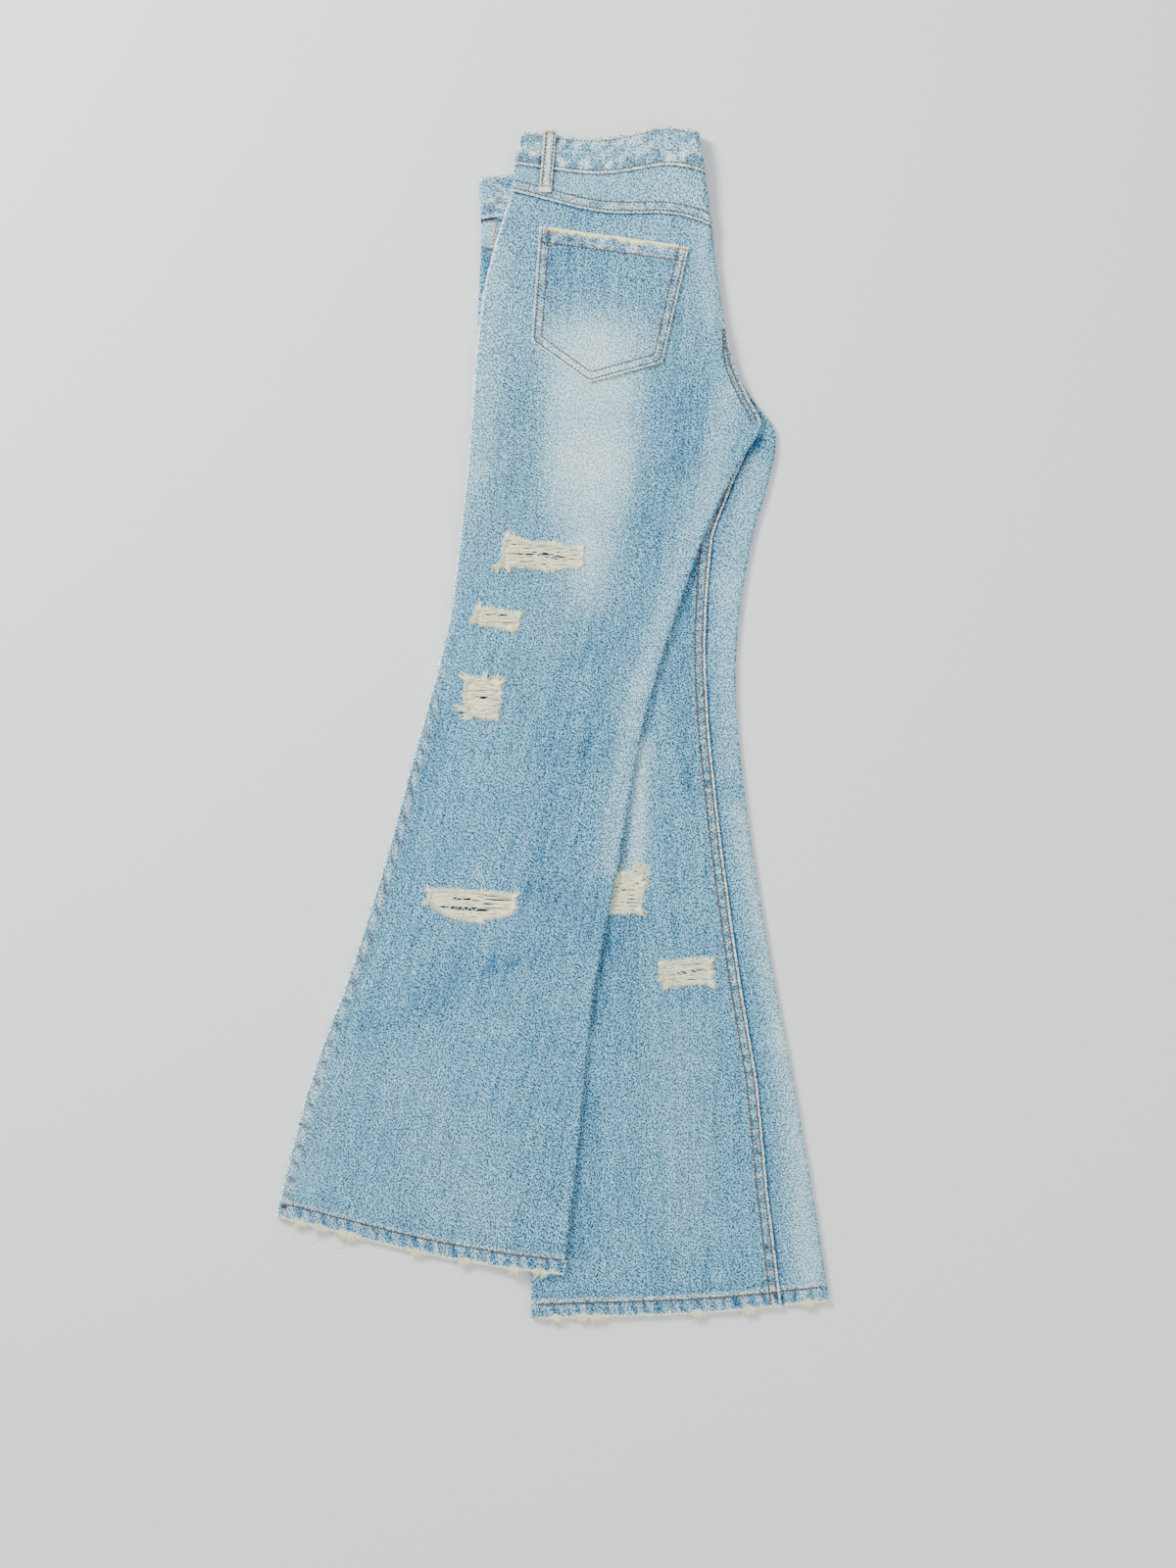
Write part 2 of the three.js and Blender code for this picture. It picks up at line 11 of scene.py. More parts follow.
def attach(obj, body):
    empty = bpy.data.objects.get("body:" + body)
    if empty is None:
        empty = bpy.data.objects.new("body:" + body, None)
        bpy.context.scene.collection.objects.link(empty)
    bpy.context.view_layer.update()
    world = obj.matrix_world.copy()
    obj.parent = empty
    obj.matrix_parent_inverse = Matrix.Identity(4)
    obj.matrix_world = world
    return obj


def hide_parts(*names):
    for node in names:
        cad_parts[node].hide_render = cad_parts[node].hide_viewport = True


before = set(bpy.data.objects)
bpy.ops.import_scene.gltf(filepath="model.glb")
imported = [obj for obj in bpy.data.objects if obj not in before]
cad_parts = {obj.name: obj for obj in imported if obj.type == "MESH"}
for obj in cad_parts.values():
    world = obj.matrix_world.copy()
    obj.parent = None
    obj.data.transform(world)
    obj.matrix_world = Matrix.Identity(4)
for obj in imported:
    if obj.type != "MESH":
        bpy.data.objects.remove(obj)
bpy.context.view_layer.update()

# Ripped flared jeans, folded in half along the centre back and laid flat, back outside.
# The right half lies below with its front up, the left half on it with its back up.
# Millimetres. +Z up, +Y towards the waist, +X towards the centre-back fold.

random.seed(7)
MM = 0.001
TURN = 2 * math.pi

DENIM = 1.5             # wall of one layer of denim
BAND = 2.6              # wall of the waistband
POCKET_CLOTH = 1.2
LOOP_CLOTH = 1.2
SEAM_GAP = 0.3          # parts two pieces at a seam
SEAM_TRIM = SEAM_GAP / 60   # about the same, in stations
LAY_GAP = 0.6           # between the lower half and the upper one
PITCH_BAND = 3.1        # from the front to the back of a half, at the waistband
PITCH_LEG = 2.1         # and down the legs
FOLD_LOFT = 1.5         # how much a leg's folded edge stands over its middle
LOFT_REACH = 30         # how far that loft reaches in from the edge
HEM_DEPTH = 15.5        # turned hem
HEM_EXTRA = 0.8         # more thickness at the turned hem
STEP_START = 14         # the upper leg leaves the lower one this far past its edge
STEP_REACH = 52         # and is down on the floor after this much more
OUTSEAM_RETURN = (15, 3.6)   # back panel turned under to the outseam, at the waist and down the leg
UPPER_INSEAM_RETURN = 20     # left back panel turned under to the inseam
FLY_INSET = 9           # centre front lies this far inside the centre-back fold
BUTTON = {"station": 0.5, "inset": 26, "height": 2}
BUTTON_LIFT = (12, 42)  # layers over it rise in full within the first distance, not at all past the second
BAND_HEIGHT = 32
CENTRE_Y = 0.6          # middle of the jeans' length in the outlines' own y

# Stations run down the garment: 0 waist, then these seams and the hem
BAND_SEAM, YOKE_SEAM, CROTCH, HEM = 1, 2, 7, 17

# Outer edge x, y and fold or inseam edge x, y of each half at each station
UPPER = np.array([
    [-27, 556, 137, 556], [-35, 525, 143, 517], [-38, 500, 149, 468], [-53, 452, 154, 425],
    [-64, 407, 160, 386], [-71, 352, 170, 340], [-75, 305, 184, 307], [-77, 272, 195, 280],
    [-81, 228, 174, 243], [-88, 165, 144, 183], [-97, 100, 118, 110], [-112, 37, 97, 45],
    [-132, -35, 78, -32], [-158, -130, 60, -138], [-190, -232, 41, -235], [-222, -318, 30, -325],
    [-246, -402, 22, -410], [-260, -464, 10, -517]], float)
LOWER = np.array([
    [-68, 515, 137, 556], [-67, 475, 143, 517], [-67, 447, 149, 468], [-69, 405, 154, 425],
    [-70, 365, 160, 386], [-72, 325, 170, 340], [-72, 292, 186, 308], [-71, 262, 209, 274],
    [-67, 222, 202, 226], [-60, 170, 188, 178], [-50, 100, 175, 100], [-41, 22, 172, 25],
    [-33, -58, 179, -56], [-28, -148, 192, -148], [-25, -241, 208, -241], [-22, -335, 226, -336],
    [-20, -440, 244, -440], [-19, -560, 260, -543]], float)

# Right back panel turned up to the inseam ridge, one width for each station from the crotch to the hem
LOWER_INSEAM_RETURN = np.array([22, 33, 37, 30, 26, 26, 28, 31, 33, 41, 44], float)

# Soft folds that stand on the upper leg: from x, y to x, y, half width and height
SOFT_FOLDS = [
    (-85, -262, 35, -205, 20, 1.8), (40, 236, 178, 268, 15, 1.6), (-70, 330, -8, 262, 16, 1.4),
    (-195, -330, -110, -372, 22, 1.6), (60, 60, 20, -60, 20, 1.2)]
FOLD_ENDS = (0.15, 0.85)   # a fold keeps its height between these shares of its length

# Held up by the pocket and the loop underneath: left and right share, foot of the band, foot of the pocket
HIP_LIFT = (0.1, 0.95, 1.9, 6)

# A row isn't quite straight: the waist dips and then rises towards the fold, and each hem sags
WAIST_WAVE = 5.3
WAVE_FADES = (1.5, 5)
UPPER_SAG = 7.4
LOWER_SAG = 4.4
SAG_START = 14

# Back pocket's corners in plan, and the share of its width at which its point lies
POCKET_TOP = ((-12, 467), (128, 448))
POCKET_FOOT = ((-20, 360), (34, 321), (103, 340))
POCKET_CORNERS = (POCKET_TOP[0], *POCKET_FOOT, POCKET_TOP[1])
POCKET_TIP_SHARE = 0.44
POCKET_HEM = 13.5          # turned hem at its top
POCKET_ROWS = (2.6, 9.2)   # its two rows of topstitches lie this far in
POCKET_LAY = 0.6           # how far the left pocket and loop stand off what they lie on

# Belt loop on the left back: middle of its top end, width, top and foot, and how far its foot leans out
LOOP = {"x": -2, "width": 11.5, "top": 557, "foot": 499, "lean": 5}

# The photograph's frame: its size, millimetres to a pixel, and the pixel at the outlines' origin
FRAME_PIXELS = (1200, 1600)
PIXEL = 0.925
ORIGIN_PIXEL = (564, 739.5)


def from_pixel(x, y):
    """Plan place in millimetres of a pixel of the photograph"""
    return ((x - ORIGIN_PIXEL[0]) * PIXEL, (ORIGIN_PIXEL[1] - y) * PIXEL)


def lerp(low, high, share):
    return low + (high - low) * share


def smooth(value, low, high):
    share = np.clip((value - low) / (high - low), 0, 1)
    return share * share * (3 - 2 * share)


def bell(distance, width):
    return np.exp(-(distance / width) ** 2)


def raised(relief):
    return np.clip(relief, 0, 1)


def sunk(relief):
    return np.clip(-relief, 0, 1)


def lengths_along(path):
    """How far along a path each of its points is"""
    steps = np.linalg.norm(np.diff(path, axis=0), axis=1)
    return np.concatenate([[0], np.cumsum(steps)])


def nearest_on_line(x, y, start, end, reach=(0, 1)):
    """Nearest place on a straight line between two shares of its length, and how far off it is"""
    (ax, ay), (bx, by) = start, end
    along = ((x - ax) * (bx - ax) + (y - ay) * (by - ay)) / ((bx - ax) ** 2 + (by - ay) ** 2)
    along = np.clip(along, *reach)
    near_x, near_y = lerp(ax, bx, along), lerp(ay, by, along)
    return near_x, near_y, np.hypot(x - near_x, y - near_y)


def edge_point(half, column, station):
    """Smooth curve through one edge's points, at these stations"""
    rows = half[:, column:column + 2]
    padded = np.vstack([2 * rows[0] - rows[1], rows, 2 * rows[-1] - rows[-2]])
    station = np.asarray(station, float)
    first = np.clip(np.floor(station).astype(int), 0, HEM - 1)
    step = (station - first)[..., None]
    before, start, end, after = (padded[first + place] for place in range(4))
    leave = (end - before) / 2
    arrive = (after - start) / 2
    cubic = 2 * start - 2 * end + leave + arrive
    square = 3 * end - 3 * start - 2 * leave - arrive
    return ((cubic * step + square) * step + leave) * step + start


def section(half, station):
    start = edge_point(half, 0, station)
    end = edge_point(half, 2, station)
    return start, end, np.linalg.norm(end - start, axis=-1)


def bow(half, station, share):
    """How far a row's curve stands above its straight line, at a share of the way across"""
    inside = np.clip(share, 0, 1)
    wave = WAIST_WAVE * (1 - smooth(station, *WAVE_FADES))
    sag = (UPPER_SAG if half is UPPER else LOWER_SAG) * smooth(station, SAG_START, HEM)
    return -wave * np.sin(TURN * inside ** 1.5) - sag * np.sin(math.pi * inside ** 1.2)


def plan(half, station, inward):
    """Plan point at a distance in from the outer edge"""
    start, end, length = section(half, station)
    share = inward / length
    point = start + (end - start) * share[..., None]
    point[..., 1] += bow(half, station, share)
    return point


def locate(half, x, y):
    """Station and distance from the outer edge at plan points"""
    above = np.zeros_like(x)
    below = np.full_like(x, HEM)
    for _ in range(24):
        middle = (above + below) / 2
        start, end, _ = section(half, middle)
        share = (x - start[..., 0]) / (end[..., 0] - start[..., 0])
        higher = lerp(start[..., 1], end[..., 1], share) + bow(half, middle, share) > y
        above = np.where(higher, middle, above)
        below = np.where(higher, below, middle)
    station = (above + below) / 2
    start, end, length = section(half, station)
    share = (x - start[..., 0]) / (end[..., 0] - start[..., 0])
    return station, share * length, length


def half_wall(station):
    return lerp(BAND, DENIM, smooth(station, BAND_SEAM, 1.8)) / 2


def pitch(station):
    return lerp(PITCH_BAND, PITCH_LEG, smooth(station, BAND_SEAM, 3.2))


def leg_share(station):
    return smooth(station, 6.3, 7.2)


def loft(distance):
    return FOLD_LOFT * (1 - smooth(distance, 0, LOFT_REACH))


def hip_lift(station, share):
    left, right, band, bottom = HIP_LIFT
    pocket_wide = smooth(share, left - 0.1, left) * (1 - smooth(share, right, 1))
    above_yoke_seam = 1 - smooth(station, band, band + 0.6)
    above_pocket_foot = 1 - smooth(station, bottom, bottom + 0.7)
    return (POCKET_CLOTH + SEAM_GAP) * np.maximum(pocket_wide, above_yoke_seam) * above_pocket_foot


def right_back_level(station, share):
    return half_wall(station) + hip_lift(station, np.clip(share, 0, 1))


def right_front_level(station, inward, length):
    outer = loft(inward)
    inner = loft(length - inward) * leg_share(station)
    return right_back_level(station, inward / length) + pitch(station) + np.maximum(outer, inner)


def button_place():
    station = np.array([BUTTON["station"]])
    return plan(LOWER, station, section(LOWER, station)[2] - BUTTON["inset"])[0]


BUTTON_PLACE = button_place()


def base_level(x, y):
    """Height that the upper half lies on"""
    station, inward, length = locate(LOWER, x, y)
    inside = np.clip(inward, 0, length)
    top = right_front_level(station, inside, length) + half_wall(station) + LAY_GAP
    drop = smooth(-inward, STEP_START, STEP_START + STEP_REACH) * smooth(station, 5, 8)
    away = np.hypot(x - BUTTON_PLACE[0], y - BUTTON_PLACE[1])
    lifted = BUTTON["height"] * (1 - smooth(away, *BUTTON_LIFT))
    return (top + lifted) * (1 - drop)


def soft_folds(x, y):
    height = np.zeros_like(x)
    for x0, y0, x1, y1, half_width, rise in SOFT_FOLDS:
        away = nearest_on_line(x, y, (x0, y0), (x1, y1), FOLD_ENDS)[2]
        height += rise * bell(away, half_width)
    return height


def levels(half, station, inward):
    """Heights of the middle of the back panel and of the front panel"""
    length = section(half, station)[2]
    if half is LOWER:
        return right_back_level(station, inward / length), right_front_level(station, inward, length)
    point = plan(half, station, np.clip(inward, 0, length))
    front = base_level(point[..., 0], point[..., 1]) + half_wall(station)
    edges = np.maximum(loft(inward), loft(length - inward))
    return front + pitch(station) + edges + soft_folds(point[..., 0], point[..., 1]), front


def inseam_return(half, station):
    if half is UPPER:
        return np.full_like(station, UPPER_INSEAM_RETURN)
    return np.interp(station - CROTCH, np.arange(len(LOWER_INSEAM_RETURN)), LOWER_INSEAM_RETURN)


def outseam_return(station):
    return lerp(*OUTSEAM_RETURN, smooth(station, 2, 12))


def fold_end(half, station):
    length = section(half, station)[2]
    own_front = levels(half, station, length)[1]
    right_back = right_back_level(station, np.ones_like(station))
    left_back = levels(UPPER, station, section(UPPER, station)[2])[0]
    side = SEAM_GAP / 2 if half is UPPER else -SEAM_GAP / 2
    return lerp((right_back + left_back) / 2 + side, own_front, smooth(station, 6, 6.8))


def plan_of(points):
    """Plan x and y in the outlines' own millimetres"""
    return points[..., 0], points[..., 1] + CENTRE_Y


def in_space(x, y, height):
    return np.stack([x, y - CENTRE_Y, height], -1)


def lie(half, station, inward, height, out_across, out_up):
    """Points and ways out in space, from a section's own terms"""
    start, end, length = section(half, station)
    across = (end - start) / length[..., None]
    point = plan(half, station, inward)
    points = in_space(point[..., 0], point[..., 1], height)
    outs = np.stack([across[..., 0] * out_across, across[..., 1] * out_across, out_up], -1)
    return points, outs


# Zones across a back panel
UNDER_OUTER, OUTER_EDGE, FLAT, INNER_EDGE, UNDER_INNER = range(5)


def shares_between(stops, counts):
    """Shares from the first stop to the last, in this many steps from one stop to the next"""
    runs = [np.linspace(low, high, count, endpoint=False)
            for low, high, count in zip(stops, stops[1:], counts)]
    return np.concatenate([*runs, [stops[-1]]])


def back_columns(counts, flat_shares=None):
    """Columns of a back panel: under the outer edge, round it, flat, round the fold or inseam, under"""
    columns = []
    for zone, count in enumerate(counts):
        shares = flat_shares if zone == FLAT and flat_shares is not None else np.arange(count) / count
        columns += [(zone, share) for share in shares]
    columns.append((UNDER_INNER, 1.0))
    return np.array([zone for zone, _ in columns]), np.array([share for _, share in columns])


def back_panel(half, stations, zones, shares):
    """Middle of a back panel's wall, its way out, and how far in from the outer edge, as grids"""
    station, zone = np.meshgrid(stations, zones, indexing="ij")
    share = np.broadcast_to(shares, station.shape)
    facing = 1 if half is UPPER else -1
    length = section(half, station)[2]
    outer_back, outer_front = levels(half, station, np.zeros_like(station))
    outer_radius = np.abs(outer_back - outer_front) / 2
    inner_back, inner_front = levels(half, station, length)
    turn = lerp(math.pi / 2, math.pi, leg_share(station))
    inner_end = fold_end(half, station)
    inner_radius = np.abs(inner_back - inner_end) / (1 - np.cos(turn))
    returned = leg_share(station) * np.maximum(0, inseam_return(half, station) - inner_radius)
    outer_angle = share * math.pi
    inner_angle = share * turn
    zones_but_last = [zone == place for place in range(UNDER_INNER)]
    inward = np.select(zones_but_last, [
        lerp(np.maximum(outseam_return(station), outer_radius + 1), outer_radius, share),
        outer_radius * (1 - np.sin(outer_angle)),
        lerp(outer_radius, length - inner_radius, share),
        length - inner_radius * (1 - np.sin(inner_angle)),
    ], length - inner_radius + inner_radius * np.sin(turn) - share * returned)
    own_back, own_front = levels(half, station, inward)
    height = np.select(zones_but_last, [
        lerp(own_front, outer_front, share),
        (outer_back + outer_front) / 2 - facing * outer_radius * np.cos(outer_angle),
        own_back,
        inner_back - facing * inner_radius * (1 - np.cos(inner_angle)),
    ], inner_end + leg_share(station) * (own_front - inner_front))
    level = np.ones_like(share)
    out_across = np.select(zones_but_last, [0 * level, -np.sin(outer_angle), 0 * level, np.sin(inner_angle)],
                           np.sin(turn))
    out_up = facing * np.select(zones_but_last, [-level, -np.cos(outer_angle), level, np.cos(inner_angle)],
                                np.cos(turn))
    points, outs = lie(half, station, inward, height, out_across, out_up)
    return points, outs, station, inward, length, zone


def front_span(half, station):
    """Distances in from the outer edge at which a front panel starts and ends"""
    length = section(half, station)[2]
    outer_back, outer_front = levels(half, station, np.zeros_like(station))
    start = np.maximum(outseam_return(station), np.abs(outer_back - outer_front) / 2 + 1) + SEAM_GAP
    inset = lerp(FLY_INSET, inseam_return(half, station) + SEAM_GAP, leg_share(station))
    return start, length - inset


def front_panel(half, stations, shares):
    station, share = np.meshgrid(stations, shares, indexing="ij")
    start, end = front_span(half, station)
    inward = lerp(start, end, share)
    facing = -1 if half is UPPER else 1
    height = levels(half, station, inward)[1]
    points, outs = lie(half, station, inward, height, 0 * share, facing + 0 * share)
    return points, outs, station, inward, end - inward


# Columns of each half of the waistband: front, round the side, back, up to the centre back
BAND_COLUMNS = (26, 8, 84, 10)


def band_panel(stations):
    """One strip from centre front to centre front round both halves, as grids"""
    front, fold, back, centre = BAND_COLUMNS
    total = 2 * (front + fold + back + centre)
    station, column = np.meshgrid(stations, np.arange(total + 1.0), indexing="ij")
    pieces = []
    for half, facing, place in ((UPPER, 1, column), (LOWER, -1, total - column)):
        length = section(half, station)[2]
        outer_back, outer_front = levels(half, station, np.zeros_like(station))
        radius = np.abs(outer_back - outer_front) / 2
        inner_back = levels(half, station, length)[0]
        upper_back = levels(UPPER, station, section(UPPER, station)[2])[0]
        fold_radius = (upper_back - right_back_level(station, np.ones_like(station))) / 2
        side_angle = math.pi * np.clip((place - front) / fold, 0, 1)
        centre_angle = math.pi / 2 * np.clip((place - front - fold - back) / centre, 0, 1)
        zones = [place < front, place < front + fold, place <= front + fold + back]
        inward = np.select(zones, [
            lerp(length - FLY_INSET, radius, place / front),
            radius * (1 - np.sin(side_angle)),
            lerp(radius, length - fold_radius, (place - front - fold) / back),
        ], length - fold_radius * (1 - np.sin(centre_angle)))
        own_back, own_front = levels(half, station, inward)
        height = np.select(zones, [
            own_front,
            (outer_back + outer_front) / 2 - facing * radius * np.cos(side_angle),
            own_back,
        ], inner_back - facing * fold_radius * (1 - np.cos(centre_angle)))
        level = np.ones_like(place)
        out_across = np.select(zones, [0 * level, -np.sin(side_angle), 0 * level], np.sin(centre_angle))
        out_up = facing * np.select(zones, [-level, -np.cos(side_angle), level], np.cos(centre_angle))
        pieces.append(lie(half, station, inward, height, out_across, out_up))
    upper_side = (column <= total / 2)[..., None]
    points = np.where(upper_side, pieces[0][0], pieces[1][0])
    outs = np.where(upper_side, pieces[0][1], pieces[1][1])
    return points, outs, station


# Length of a row of faces down a leg, over the hem, down a yoke and down a plain front
ROW, HEM_ROW, YOKE_ROW, PLAIN_ROW = 4.2, 1.7, 1.8, 9
HEM_STATIONS = 0.30     # the rows are close over this last share of a station


def rows_by_length(half, start, end, spacing):
    """Stations about this far apart down the middle of a half"""
    dense = np.linspace(start, end, 400)
    lengths = lengths_along(plan(half, dense, section(half, dense)[2] / 2))
    count = max(2, int(round(lengths[-1] / spacing)))
    return np.interp(np.linspace(0, lengths[-1], count + 1), lengths, dense)


def hem_distance(half, station, inward, length):
    """How far above the hem's edge, measured along the cloth"""
    low = edge_point(half, 0, HEM - 0.5), edge_point(half, 2, HEM - 0.5)
    end = edge_point(half, 0, float(HEM)), edge_point(half, 2, float(HEM))
    outer_step = np.linalg.norm(end[0] - low[0]) * 2
    inner_step = np.linalg.norm(end[1] - low[1]) * 2
    return (HEM - station) * lerp(outer_step, inner_step, np.clip(inward / length, 0, 1))


def leg_rows(half, start):
    """Stations down a leg, closer together over the hem"""
    body = rows_by_length(half, start + SEAM_TRIM, HEM - HEM_STATIONS, ROW)
    return np.concatenate([body[:-1], rows_by_length(half, HEM - HEM_STATIONS, float(HEM), HEM_ROW)])


# Washed and worn tones, with painted light and shade among them, as soft strokes in the photograph's pixels:
# x, y to x, y, half width, amount
UPPER_FADES_AND_LIGHT = [
    (603, 372, 602, 470, 34, 0.95), (602, 470, 600, 560, 22, 0.75), (598, 560, 600, 605, 18, 0.5),
    (575, 345, 640, 350, 22, 0.45), (605, 378, 608, 384, 26, 0.5), (575, 400, 570, 520, 14, 0.4),
    (640, 400, 625, 520, 14, 0.35), (505, 260, 487, 480, 15, 0.35), (481, 480, 455, 640, 10, 0.25),
    (745, 400, 720, 520, 13, 0.45), (705, 540, 655, 700, 11, 0.35), (650, 700, 622, 880, 11, 0.35),
    (560, 190, 700, 205, 16, 0.12), (620, 240, 660, 245, 12, 0.15), (330, 1090, 310, 1190, 22, 0.2),
    (420, 1120, 480, 1240, 45, 0.12), (600, 600, 560, 640, 30, 0.1), (716, 240, 728, 320, 10, 0.35),
    # painted light: the three broad strokes on this line lighten the top of the upper half, where more light
    # falls
    (505, 230, 500, 520, 40, 0.12), (705, 180, 700, 330, 45, 0.14), (560, 160, 690, 160, 40, 0.14),
]
# darker strokes on the upper half; painted shade among them: the band along a fold below the knee and the
# shadow round the belt loop
UPPER_DARK_AND_SHADE = [
    (690, 330, 700, 470, 20, 0.4), (672, 470, 655, 560, 18, 0.27), (532, 400, 528, 520, 20, 0.35),
    (610, 640, 585, 760, 26, 0.26), (580, 760, 560, 900, 26, 0.24), (600, 950, 500, 985, 14, 0.34),
    (500, 985, 380, 1050, 16, 0.34), (555, 900, 610, 930, 18, 0.3), (445, 720, 400, 900, 18, 0.15),
    (596, 260, 640, 270, 30, 0.15), (560, 262, 575, 330, 12, 0.35), (670, 280, 660, 330, 16, 0.2),
    (470, 1120, 330, 1160, 30, 0.15), (560, 1050, 570, 1200, 18, 0.15), (700, 250, 712, 300, 10, 0.2),
    # painted shadow beside and under the belt loop
    (555, 142, 549, 196, 2.6, 1.5), (571, 141, 565, 199, 2.2, 1.2), (550, 202, 563, 202, 2.0, 1.8),
    (513, 196, 508, 214, 7, 0.6),
]
LOWER_FADES = [
    (655, 760, 650, 885, 8, 0.85), (770, 480, 745, 600, 16, 0.35), (742, 600, 745, 780, 12, 0.35),
    (755, 830, 800, 1060, 12, 0.65), (805, 1060, 825, 1300, 14, 0.75), (690, 1050, 700, 1250, 22, 0.15),
    (498, 190, 494, 230, 10, 0.2), (505, 232, 500, 252, 10, 0.5),
]
# darker strokes on the lower half; most are painted shadow: under the crotch, in its fold and along the upper
# leg's right edge
LOWER_DARK_AND_SHADE = [
    (760, 462, 732, 512, 12, 0.85), (715, 560, 700, 620, 12, 0.5), (492, 227, 512, 227, 1.8, 2.2),
    (492, 254, 508, 256, 1.8, 1.8), (496, 263, 506, 264, 5, 0.9), (690, 660, 700, 800, 14, 0.25),
    (640, 935, 622, 975, 16, 0.6), (769, 452, 779, 449, 3.5, 1.1), (772, 458, 778, 458, 6, 0.5),
    (612, 990, 606, 1040, 9, 0.5), (598, 1120, 592, 1270, 11, 0.45), (497, 255, 499, 272, 9, 0.8),
    (515, 200, 500, 212, 9, 0.4), (712, 700, 720, 800, 8, 0.2),
]
STROKE_SOFTNESS = 1.15     # a stroke fades out a little past its half width


def strokes(places, x, y):
    """Sum of soft strokes at plan points"""
    total = np.zeros_like(x)
    for x0, y0, x1, y1, half_width, amount in places:
        away = nearest_on_line(x, y, from_pixel(x0, y0), from_pixel(x1, y1))[2]
        total = total + amount * bell(away, half_width * PIXEL * STROKE_SOFTNESS)
    return total


def fade_and_light_strokes(half, x, y):
    return strokes(UPPER_FADES_AND_LIGHT if half is UPPER else LOWER_FADES, x, y)


def dark_and_shade_strokes(half, x, y):
    return strokes(UPPER_DARK_AND_SHADE if half is UPPER else LOWER_DARK_AND_SHADE, x, y)


def ripple(x, y, scale, seed):
    """Soft unevenness between -1 and 1 with features of this many millimetres"""
    flat_x, flat_y = np.ravel(x) / scale, np.ravel(y) / scale
    values = [noise.noise(Vector((a, b, seed))) for a, b in zip(flat_x, flat_y)]
    return np.reshape(values, np.shape(x))


# Rips, in the photograph's pixels: outline, slits that stand open between the threads (x, y to x, y and
# width in millimetres), and clumps of loose ends (x, y to x, y)
UPPER_RIPS = {
    "thigh": {
        "outline": [(518, 548), (530, 551), (545, 556), (565, 555), (580, 560), (595, 561), (594, 570),
                    (592, 578), (575, 580), (560, 583), (540, 578), (526, 576), (515, 580), (513, 565)],
        "slits": [(522, 566, 560, 567, 1.5), (545, 564, 580, 571, 1.8), (552, 568, 578, 573, 1.5)],
        "frays": [(518, 550, 519, 542), (512, 576, 504, 585), (518, 579, 522, 586), (556, 580, 559, 587),
                  (592, 560, 598, 557), (591, 577, 597, 573), (565, 557, 567, 551)],
    },
    "above_knee": {
        "outline": [(487, 621), (500, 623), (530, 627), (528, 643), (505, 640), (485, 635)],
        "slits": [(494, 627, 522, 630, 0.9), (500, 633, 518, 636, 0.7)],
        "frays": [(490, 622, 491, 614), (521, 641, 525, 649), (485, 633, 481, 638), (529, 628, 534, 624)],
    },
    "knee": {
        "outline": [(478, 692), (495, 695), (511, 697), (510, 715), (506, 733), (490, 732), (476, 727),
                    (474, 708)],
        "slits": [(484, 711, 506, 714, 1.9)],
        "frays": [(481, 695, 470, 687), (494, 695, 497, 684), (504, 697, 511, 688), (508, 699, 519, 692),
                  (478, 724, 462, 722), (480, 731, 469, 735), (506, 731, 509, 738)],
    },
    "shin": {
        "outline": [(440, 908), (470, 909), (500, 911), (522, 913), (526, 920), (521, 932), (500, 936),
                    (480, 939), (460, 935), (446, 928), (438, 918)],
        "slits": [(461, 916, 488, 919, 1.3), (452, 925, 500, 929, 2.6), (489, 921, 506, 922, 0.9)],
        "frays": [(441, 910, 433, 905), (438, 919, 430, 922), (490, 938, 495, 944), (524, 914, 531, 909),
                  (524, 925, 530, 927)],
    },
}
LOWER_RIPS = {
    "under_edge": {
        "outline": [(618, 892), (640, 891), (652, 896), (656, 908), (654, 922), (650, 930), (630, 931),
                    (616, 930)],
        "slits": [(632, 909, 640, 908, 1.6)],
        "frays": [(636, 893, 635, 887), (652, 897, 658, 891), (655, 903, 662, 899), (652, 928, 659, 935)],
    },
    "calf": {
        "outline": [(676, 984), (700, 980), (724, 980), (726, 992), (724, 1002), (700, 1004), (678, 1005),
                    (674, 995)],
        "slits": [(686, 994, 716, 989, 2.7)],
        "frays": [(678, 985, 671, 981), (725, 981, 730, 976), (725, 1003, 732, 1008), (681, 1005, 677, 1011),
                  (676, 998, 670, 1001), (703, 981, 705, 976), (724, 992, 731, 993)],
    },
}


def rip_outline(rip):
    return np.array([from_pixel(*pixel) for pixel in rip["outline"]])


FAR = 1e9


def outline_distance(outline, x, y):
    """Distance to a closed outline, negative inside it, and the nearest point on it"""
    best = np.full(np.shape(x), FAR)
    near_x, near_y = np.zeros_like(best), np.zeros_like(best)
    inside = np.zeros(np.shape(x), bool)
    for (ax, ay), (bx, by) in zip(outline, np.roll(outline, -1, axis=0)):
        foot_x, foot_y, away = nearest_on_line(x, y, (ax, ay), (bx, by))
        closer = away < best
        best = np.where(closer, away, best)
        near_x, near_y = np.where(closer, foot_x, near_x), np.where(closer, foot_y, near_y)
        crosses = (ay > y) != (by > y)
        rise = by - ay if by != ay else 1e-9
        inside ^= crosses & (x < ax + (y - ay) * (bx - ax) / rise)
    return np.where(inside, -best, best), near_x, near_y


def rip_wear_and_shade(rips, x, y):
    """Mask in and close round the rips: whitened cloth on a ripped sheet, and painted shade on the sheet
    under the rips
    """
    worn = np.zeros_like(x)
    for rip in rips.values():
        distance = outline_distance(rip_outline(rip), x, y)[0]
        worn = np.maximum(worn, 0.7 - 0.7 * smooth(distance, 0.2, 2.4))
    return worn


def blotches(x, y, size, seed):
    """Irregular light and dark patches between -1 and 1, of about this size"""
    broad = ripple(x, y * 0.8, size, seed) + 0.5 * ripple(x, y, size / 2.1, seed + 3)
    return np.clip(2.6 * broad, -1, 1)


